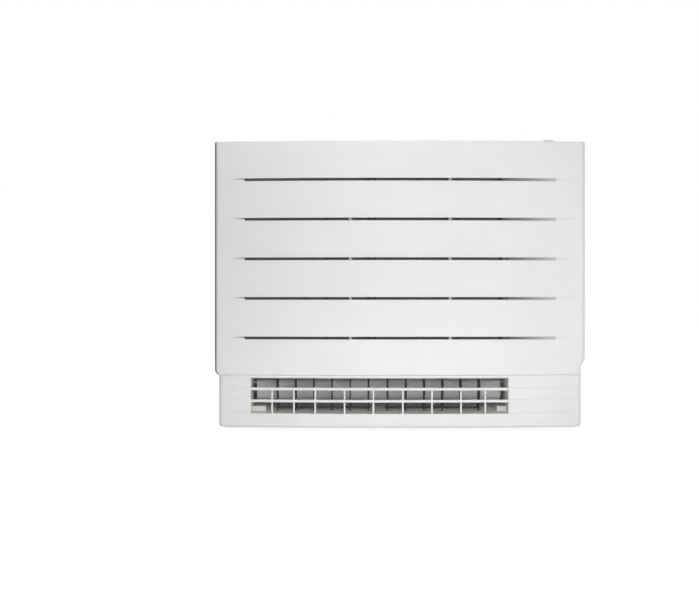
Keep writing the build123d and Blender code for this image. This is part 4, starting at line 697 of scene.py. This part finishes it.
def makeLowerFront():
    # the bowed lower front with the outlet's mouth and three fading grooves at each side of it
    form, wall = coverForm, bodyForm["wall"]
    mouthX, mouthZ = bodyForm["outletX"], bodyForm["outletZ"]
    plain = (*mouthX, *form["grooveFull"], -form["grooveTip"], form["grooveTip"])
    seam = form["half"] - form["sideRadius"]
    stations = planStations(form["half"], form["sideRadius"], form["rear"], bowStationsOf(seam, (), plain))
    count = len(stations["x"])
    zero, low, high = np.zeros(count), form["low"], form["high"]
    under = [(zero + low + rise, zero + inset) for rise, inset in roundEdge(form["bottomEdge"], 7)]
    above = [(zero + high - fall, zero + inset) for fall, inset in roundEdge(form["topEdge"], 7)[::-1]]
    body = [(zero + z, zero) for z in (*form["rows"], *mouthZ)]
    for z in form["grooves"]:
        body += grooveRows(stations, z)
    rows = under + sorted(body, key=lambda row: float(row[0].min())) + above
    outer = [raisePoints(stations, z, inset) for z, inset in rows]
    inner = [raisePoints(stations, np.clip(z, low + wall, high - wall), zero + wall) for z, _ in rows]
    for points in (*outer, *inner):     # both ends draw in round the bottom corners
        fall = np.clip(low + form["cornerRadius"] - points[..., 2], 0, form["cornerRadius"])
        points[..., 0] -= stations["flank"] * (form["cornerRadius"]
                                               - np.sqrt(form["cornerRadius"] ** 2 - fall ** 2))
    lip, roof = (1.0, 0.5), form["roof"]
    plates = (form["rear"], form["rear"]), (lip, roof)
    outer = withPlates(outer, *plates, (low, high))
    inner = withPlates(inner, *plates, (low + wall, high - wall))
    # The top keeps under the circle that the panel's lower front edge swings through round its hinge.
    # That edge is as far ahead of the hinge as the bow is at each x; behind the hinge it only rises.
    hingeY, arm = panelForm["hingeY"], panelForm["hingeZ"] - panelForm["low"]
    for skin, top in ((outer, 0.0), (inner, wall)):
        for points in skin[-len(above) - len(roof):]:
            edge = np.minimum(bowY(np.clip(points[..., 0], -seam, seam)) - hingeY, 0)
            ahead = np.clip(points[..., 1] - hingeY, edge, 0)
            reach = panelForm["hingeZ"] - np.sqrt(edge ** 2 + arm ** 2 - ahead ** 2) - form["gap"] - top
            points[..., 2] = np.minimum(points[..., 2], reach)
    outer = np.array(outer)
    middleZ = (outer[:-1, count // 2, 2] + outer[1:, count // 2, 2]) / 2
    middleX = (stations["x"][:-1] + stations["x"][1:]) / 2
    inMouth = (((middleZ > mouthZ[0]) & (middleZ < mouthZ[1]))[:, None]
               & ((middleX > mouthX[0]) & (middleX < mouthX[1]))[None, :])
    inMouth &= (np.arange(len(middleZ)) > len(lip))[:, None]
    return closedWall(outer, np.array(inner), ~inMouth)


def meshArrays(mesh):
    # a mesh's corner points, in millimetres, and its faces
    points = np.zeros(len(mesh.vertices) * 3)
    mesh.vertices.foreach_get("co", points)
    return points.reshape(-1, 3) / metre, [list(face.vertices) for face in mesh.polygons]


flatForm = {"onPlane": 1e-7, "turn": math.radians(0.6)}


def flattened(nodeName, cut=None):
    # A CAD node's points and faces, with its doubles merged and its coplanar triangles joined. With
    # a cut, what lies in front of that Y and under that Z is dropped and the section closed.
    mesh, work = openMesh("flattened", *meshArrays(frame["nodes"][nodeName].data))
    if cut:
        cutY, cutZ = cut[0] * metre, cut[1] * metre
        below = [face for face in work.faces if face.calc_center_median().z < cutZ]
        edges = {edge for face in below for edge in face.edges}
        corners = {corner for face in below for corner in face.verts}
        bmesh.ops.bisect_plane(work, geom=[*below, *edges, *corners],
                               dist=flatForm["onPlane"], plane_co=(0, cutY, 0), plane_no=(0, 1, 0))
        gone = [face for face in work.faces if face.calc_center_median().y < cutY
                and face.calc_center_median().z < cutZ]
        bmesh.ops.delete(work, geom=gone, context="FACES")
        openEdges = [edge for edge in work.edges if edge.is_boundary]
        bmesh.ops.triangle_fill(work, edges=openEdges, use_beauty=True)
    bmesh.ops.dissolve_limit(work, angle_limit=flatForm["turn"], verts=work.verts, edges=work.edges)
    work.to_mesh(mesh)
    work.free()
    result = meshArrays(mesh)
    bpy.data.meshes.remove(mesh)
    return result


cover = makePiece("coverShell", [flattened("front_cover", (coverForm["rear"], coverForm["cutZ"]))],
                  "cabinet", "cover_white", ("front_cover",))
addBevel(cover, coverForm["bevel"])
lowerFront = makePiece("coverLowerFront", [makeLowerFront()], "cabinet", "cover_white", ("front_cover",))
print("front cover made:", len(cover.data.polygons), "and", len(lowerFront.data.polygons), "faces")


# Outlet grille: two long bars and nine short uprights.
grilleForm = {"bars": (87.4, 63.3), "barHalf": 2.8, "barDepth": (1.0, 7.0), "rear": 2.8, "flange": 8.0,
              "uprights": (-258.0, -214.0, -171.0, -112.0, -54.0, 5.0, 63.5, 122.0, 171.0),
              "uprightHalf": 1.9, "uprightDepth": (3.0, 8.0), "draft": 0.12, "lip": 2.0, "lipRear": 2.0,
              "gap": 0.4, "overlap": 2.0, "barRadius": 1.5, "uprightRadius": 1.2, "lipRadius": 0.7,
              "endRadius": 0.5, "flangeRadius": 0.4}


def makeGrille():
    form, gap = grilleForm, grilleForm["gap"]
    (x0, x1), (z0, z1) = bodyForm["outletX"], bodyForm["outletZ"]
    wide, rear, over = form["flange"], form["rear"], form["overlap"]
    parts = []
    for z in form["bars"]:
        high = (z - form["barHalf"], z + form["barHalf"])
        parts.append(bowedBar(form["barDepth"], high, (x0 + gap, x1 - gap), form["barRadius"]))
        for ends in ((x0 - wide, x0 + over), (x1 - over, x1 + wide)):
            parts.append(bowedBar((rear, form["barDepth"][1]), high, ends, form["endRadius"]))
    deep = (form["uprightDepth"][1] - form["uprightDepth"][0]) / 2
    for x in form["uprights"]:
        y = float(bowY(x)) + sum(form["uprightDepth"]) / 2
        ends = (z0 - wide / 2, form["bars"][0])
        parts.append(standingBar(x, y, form["uprightHalf"], deep, ends, form["uprightRadius"],
                                 form["draft"]))
    behind, across = (rear, rear + bodyForm["wall"]), (x0 - wide, x1 + wide)
    parts.append(bowedBar(behind, (z0 - wide, z0 - gap), across, form["flangeRadius"]))
    parts.append(bowedBar((rear + form["lipRear"], form["barDepth"][1]), (z1 - form["lip"], z1 - gap),
                          across, form["lipRadius"]))
    for ends in ((x0 - wide, x0 - gap), (x1 + gap, x1 + wide)):
        parts.append(bowedBar(behind, (z0 - wide, z1 - gap), ends, form["flangeRadius"], stepMm=3.0))
    makePiece("outletGrille", parts, "cabinet", "grille_white", ("outlet_grille",))


makeGrille()
print("outlet grille made")


# Lower shutter: the crowned flap behind the vanes, hung by an arm and an axle at each end.
shutterForm = {"ends": (-293.3, 210.2), "z": (61.0, 101.0), "edgeY": -38.0, "crestY": -50.0,
               "thick": 2.0, "axisY": -33.0, "axisZ": 96.0, "axle": 1.8, "arm": 4.0, "armInset": 0.1,
               "armSunk": 0.4, "armUnder": 0.6, "axleSunk": 1.0, "reach": 10.0, "steps": (0.5, 4.0)}


def makeShutter():
    # the blade is a crescent: two equal arcs in side view, one thickness apart, with a round bead
    # along both edges
    form = shutterForm
    (x0, x1), (z0, z1) = form["ends"], form["z"]
    half, rise = (z1 - z0) / 2, form["edgeY"] - form["crestY"]
    radius = (half ** 2 + rise ** 2) / (2 * rise)
    lean = math.asin(half / radius)
    turn = np.linspace(-lean, lean, 29)
    middle = (z0 + z1) / 2
    front = np.stack([form["crestY"] + radius * (1 - np.cos(turn)), middle + radius * np.sin(turn)], -1)
    rear = front[::-1] + (form["thick"], 0)
    over = np.linspace(0, math.pi, 7)[1:-1]
    bead = np.stack([form["thick"] / 2 * (1 - np.cos(over)), form["thick"] / 3 * np.sin(over)], -1)
    section = np.concatenate([front, front[-1] + bead, rear, rear[-1] - bead])
    tip, far = form["steps"]
    xs = np.concatenate([[x0, x0 + tip], np.linspace(x0 + far, x1 - far, 40), [x1 - tip, x1]])
    rings = np.zeros((len(xs), len(section), 3))
    rings[..., 0] = xs[:, None]
    rings[..., 1:] = section
    parts = [closedTube(rings)]
    axisY, axisZ, thin = form["axisY"], form["axisZ"], form["axle"]
    axle = roundAt(axisY, axisZ, thin, fullTurn(24))
    sunk, top = form["armSunk"], z1 - form["armUnder"]
    arm = [(form["edgeY"] + sunk, top), (form["crestY"] + form["thick"] + sunk, middle),
           (axisY, axisZ - thin), (axisY + thin, axisZ), (axisY, top)]
    for end, side in ((x0, -1), (x1, 1)):
        parts.append(sideBar(arm, sorted((end - side * form["armInset"],
                                          end - side * (form["arm"] - form["armInset"])))))
        parts.append(sideBar(axle, sorted((end - side * form["axleSunk"], end + side * form["reach"]))))
    makePiece("lowerShutter", parts, "lower_shutter", "shutter_grey", ("lower_shutter",))


makeShutter()
print("lower shutter made")


# Standing vanes: an arrow shaped plate, a foot pin in the duct's floor and a link pin at the back.
# The plate's outline is in side view, as (y, z); a pin is its radius and the heights of its ends.
vaneForm = {"plate": ((-62.0, 106.5), (-84.0, 106.5), (-99.0, 97.0), (-98.0, 86.0), (-87.0, 58.0),
                      (-84.0, 46.0), (-66.0, 46.0), (-66.0, 47.7), (-55.8, 47.7), (-55.8, 50.1),
                      (-63.0, 57.0)),
            "halfThick": 1.5, "axisY": -76.0, "pin": (1.5, 37.6, 50.0), "linkY": -58.0,
            "linkPin": (1.2, 44.2, 48.9), "pointHigh": 0.4, "pointShare": 0.7, "bevel": 0.5}


def pinAt(x, y, radius, foot, top):
    # a round pin up Z, its lower end drawn in like a turned point
    turn = fullTurn(16)
    zs = np.array([foot, foot + vaneForm["pointHigh"], top])
    wide = np.array([vaneForm["pointShare"], 1.0, 1.0]) * radius
    rings = np.zeros((len(zs), len(turn), 3))
    rings[..., 0] = x + wide[:, None] * np.cos(turn)
    rings[..., 1] = y + wide[:, None] * np.sin(turn)
    rings[..., 2] = zs[:, None]
    return closedTube(rings)


def camelName(nodeName):
    first, *rest = nodeName.split("_")
    return first + "".join(word.capitalize() for word in rest)


def makeVane(nodeName):
    # the vane stands where its CAD node's box has its middle
    form, half = vaneForm, vaneForm["halfThick"]
    low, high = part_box(nodeName)
    x = (low[0] + high[0]) / 2 / metre
    parts = [sideBar(form["plate"], (x - half, x + half)), pinAt(x, form["axisY"], *form["pin"]),
             pinAt(x, form["linkY"], *form["linkPin"])]
    piece = makePiece(camelName(nodeName), parts, nodeName, "vane_black", (nodeName,))
    addBevel(piece, form["bevel"])


vaneNames = [f"vane_{side}_{number}" for side in ("left", "right") for number in range(1, 7)]
for nodeName in vaneNames:
    makeVane(nodeName)
print("vanes made:", len(vaneNames))


# Pieces that keep the CAD shape, with their edges broken as a mould or a press leaves them.
brokenEdges = {"rear_casing": 0.9, "back_plate": 0.4, "outlet_duct": 0.4, "upper_duct": 0.4,
               "upper_flap": 0.5, "control_pod": 0.5, "power_button": 0.6, "signal_lens": 0.25,
               "filter_left": 0.5, "filter_right": 0.5, "vane_link_left": 0.3, "vane_link_right": 0.3,
               "drain_pan": 0.4, "electrical_box": 0.2, "electrical_box_lid": 0.2,
               "motor_bracket": 0.3, "bell_mouth": 0.3, "fan_scroll": 0.4, "terminal_block": 0.3,
               "gas_pipe": 1.2, "liquid_pipe": 0.8, "flare_nuts": 0.6, "drain_hose": 0.8,
               "fan_motor": 1.0, "turbo_fan": 0.3, "motor_shaft": 0.4, "shaft_nut": 0.5,
               "flap_motor": 0.5, "shutter_motor": 0.5}
bodyOf = {nodeName: body for body, nodeNames in frame["record"]["behaviour"]["bodies"].items()
          for nodeName in nodeNames}
slotOf = {part["node"]: part["material_slot"] for part in frame["record"]["subparts"]}
for nodeName, width in brokenEdges.items():
    piece = makePiece(camelName(nodeName), [flattened(nodeName)], bodyOf[nodeName],
                      slotOf[nodeName], (nodeName,))
    addBevel(piece, width)
print("broken edges made:", len(brokenEdges))


# Floor, world and lamps. Sizes and places are in metres here.
studioForm = {"floorHalf": 9.0, "floorTone": "#ebebea", "seenTone": "#b0b0b0", "glow": 0.88,
              "worldStrength": 0.28}


def seenDirectly(tree):
    # 1 for a ray from the camera, or one that a gloss or a lens sends on, and 0 for the light's own
    paths = addNode(tree, "LightPath")
    gloss = addNode(tree, "Math", {0: paths.outputs["Is Camera Ray"], 1: paths.outputs["Is Glossy Ray"]},
                    {"operation": "MAXIMUM"}).outputs[0]
    return addNode(tree, "Math", {0: gloss, 1: paths.outputs["Is Transmission Ray"]},
                   {"operation": "MAXIMUM"}).outputs[0]


def makeFloor():
    half = studioForm["floorHalf"]
    mesh = bpy.data.meshes.new("floor")
    mesh.from_pydata([(-half, -half, 0), (half, -half, 0), (half, half, 0), (-half, half, 0)], [],
                     [(0, 1, 2, 3)])
    material = bpy.data.materials.new("paperFloorMatt")
    tree = emptyTree(material)
    paper = addNode(tree, "BsdfDiffuse", {"Color": studioForm["floorTone"]})
    seen = addNode(tree, "BsdfDiffuse", {"Color": studioForm["seenTone"]})
    glow = addNode(tree, "Emission", {"Strength": studioForm["glow"]})
    both = addNode(tree, "AddShader", {0: seen.outputs[0], 1: glow.outputs[0]})
    mix = addNode(tree, "MixShader", {0: seenDirectly(tree), 1: paper.outputs[0], 2: both.outputs[0]})
    addNode(tree, "OutputMaterial", {"Surface": mix.outputs[0]})
    mesh.materials.append(material)
    floor = placeObject("floor", mesh)


def makeWorld():
    world = bpy.data.worlds.new("studio")
    tree = emptyTree(world)
    room, sweep = (addNode(tree, "Background", {"Color": "#ffffff", "Strength": strength})
                   for strength in (studioForm["worldStrength"], 1.0))
    mix = addNode(tree, "MixShader", {0: seenDirectly(tree), 1: room.outputs[0], 2: sweep.outputs[0]})
    addNode(tree, "OutputWorld", {"Surface": mix.outputs[0]})
    bpy.context.scene.world = world


# each lamp: its place, what it looks at, its width and height, and its power in watts
lamps = {"keyLamp": ((-0.08, -0.55, 1.15), (-0.08, -0.1, 0.55), (0.4, 0.4), 2.6),
         "frontLamp": ((0.15, -1.9, 0.05), (0.0, -0.1, 0.1), (1.0, 1.0), 9.5),
         "outletLamp": ((0.0, -0.64, 0.5), (0.0, -0.1, 0.06), (1.1, 0.06), 0.46),
         "fillLamp": ((1.1, -1.0, 0.1), (0.2, -0.1, 0.05), (0.7, 0.7), 4.5),
         "lowLamp": ((-0.03, -0.42, 0.07), (-0.03, -0.1, 0.06), (0.8, 0.03), 0.3),
         "backLamp": ((-0.8, 1.9, 1.8), (0.0, 0.1, 0.4), (1.6, 1.6), 22.0)}


def makeLamps():
    # each lamp is turned round Z to its aim and then tilted by the aim's slope
    for name, (place, aim, size, power) in lamps.items():
        data = bpy.data.lights.new(name, "AREA")
        data.shape = "RECTANGLE"
        data.size, data.size_y = size
        data.energy = power
        lamp = placeObject(name, data)
        way = np.subtract(aim, place)
        turnZ = math.atan2(way[1], way[0]) - math.pi / 2
        tilt = math.pi / 2 + math.asin(way[2] / np.linalg.norm(way))
        lamp.location = place
        lamp.rotation_euler = (tilt, 0, turnZ)


makeFloor()
makeWorld()
makeLamps()
bpy.context.scene.view_settings.view_transform = "Standard"
print("studio made")

bpy.context.view_layer.update()
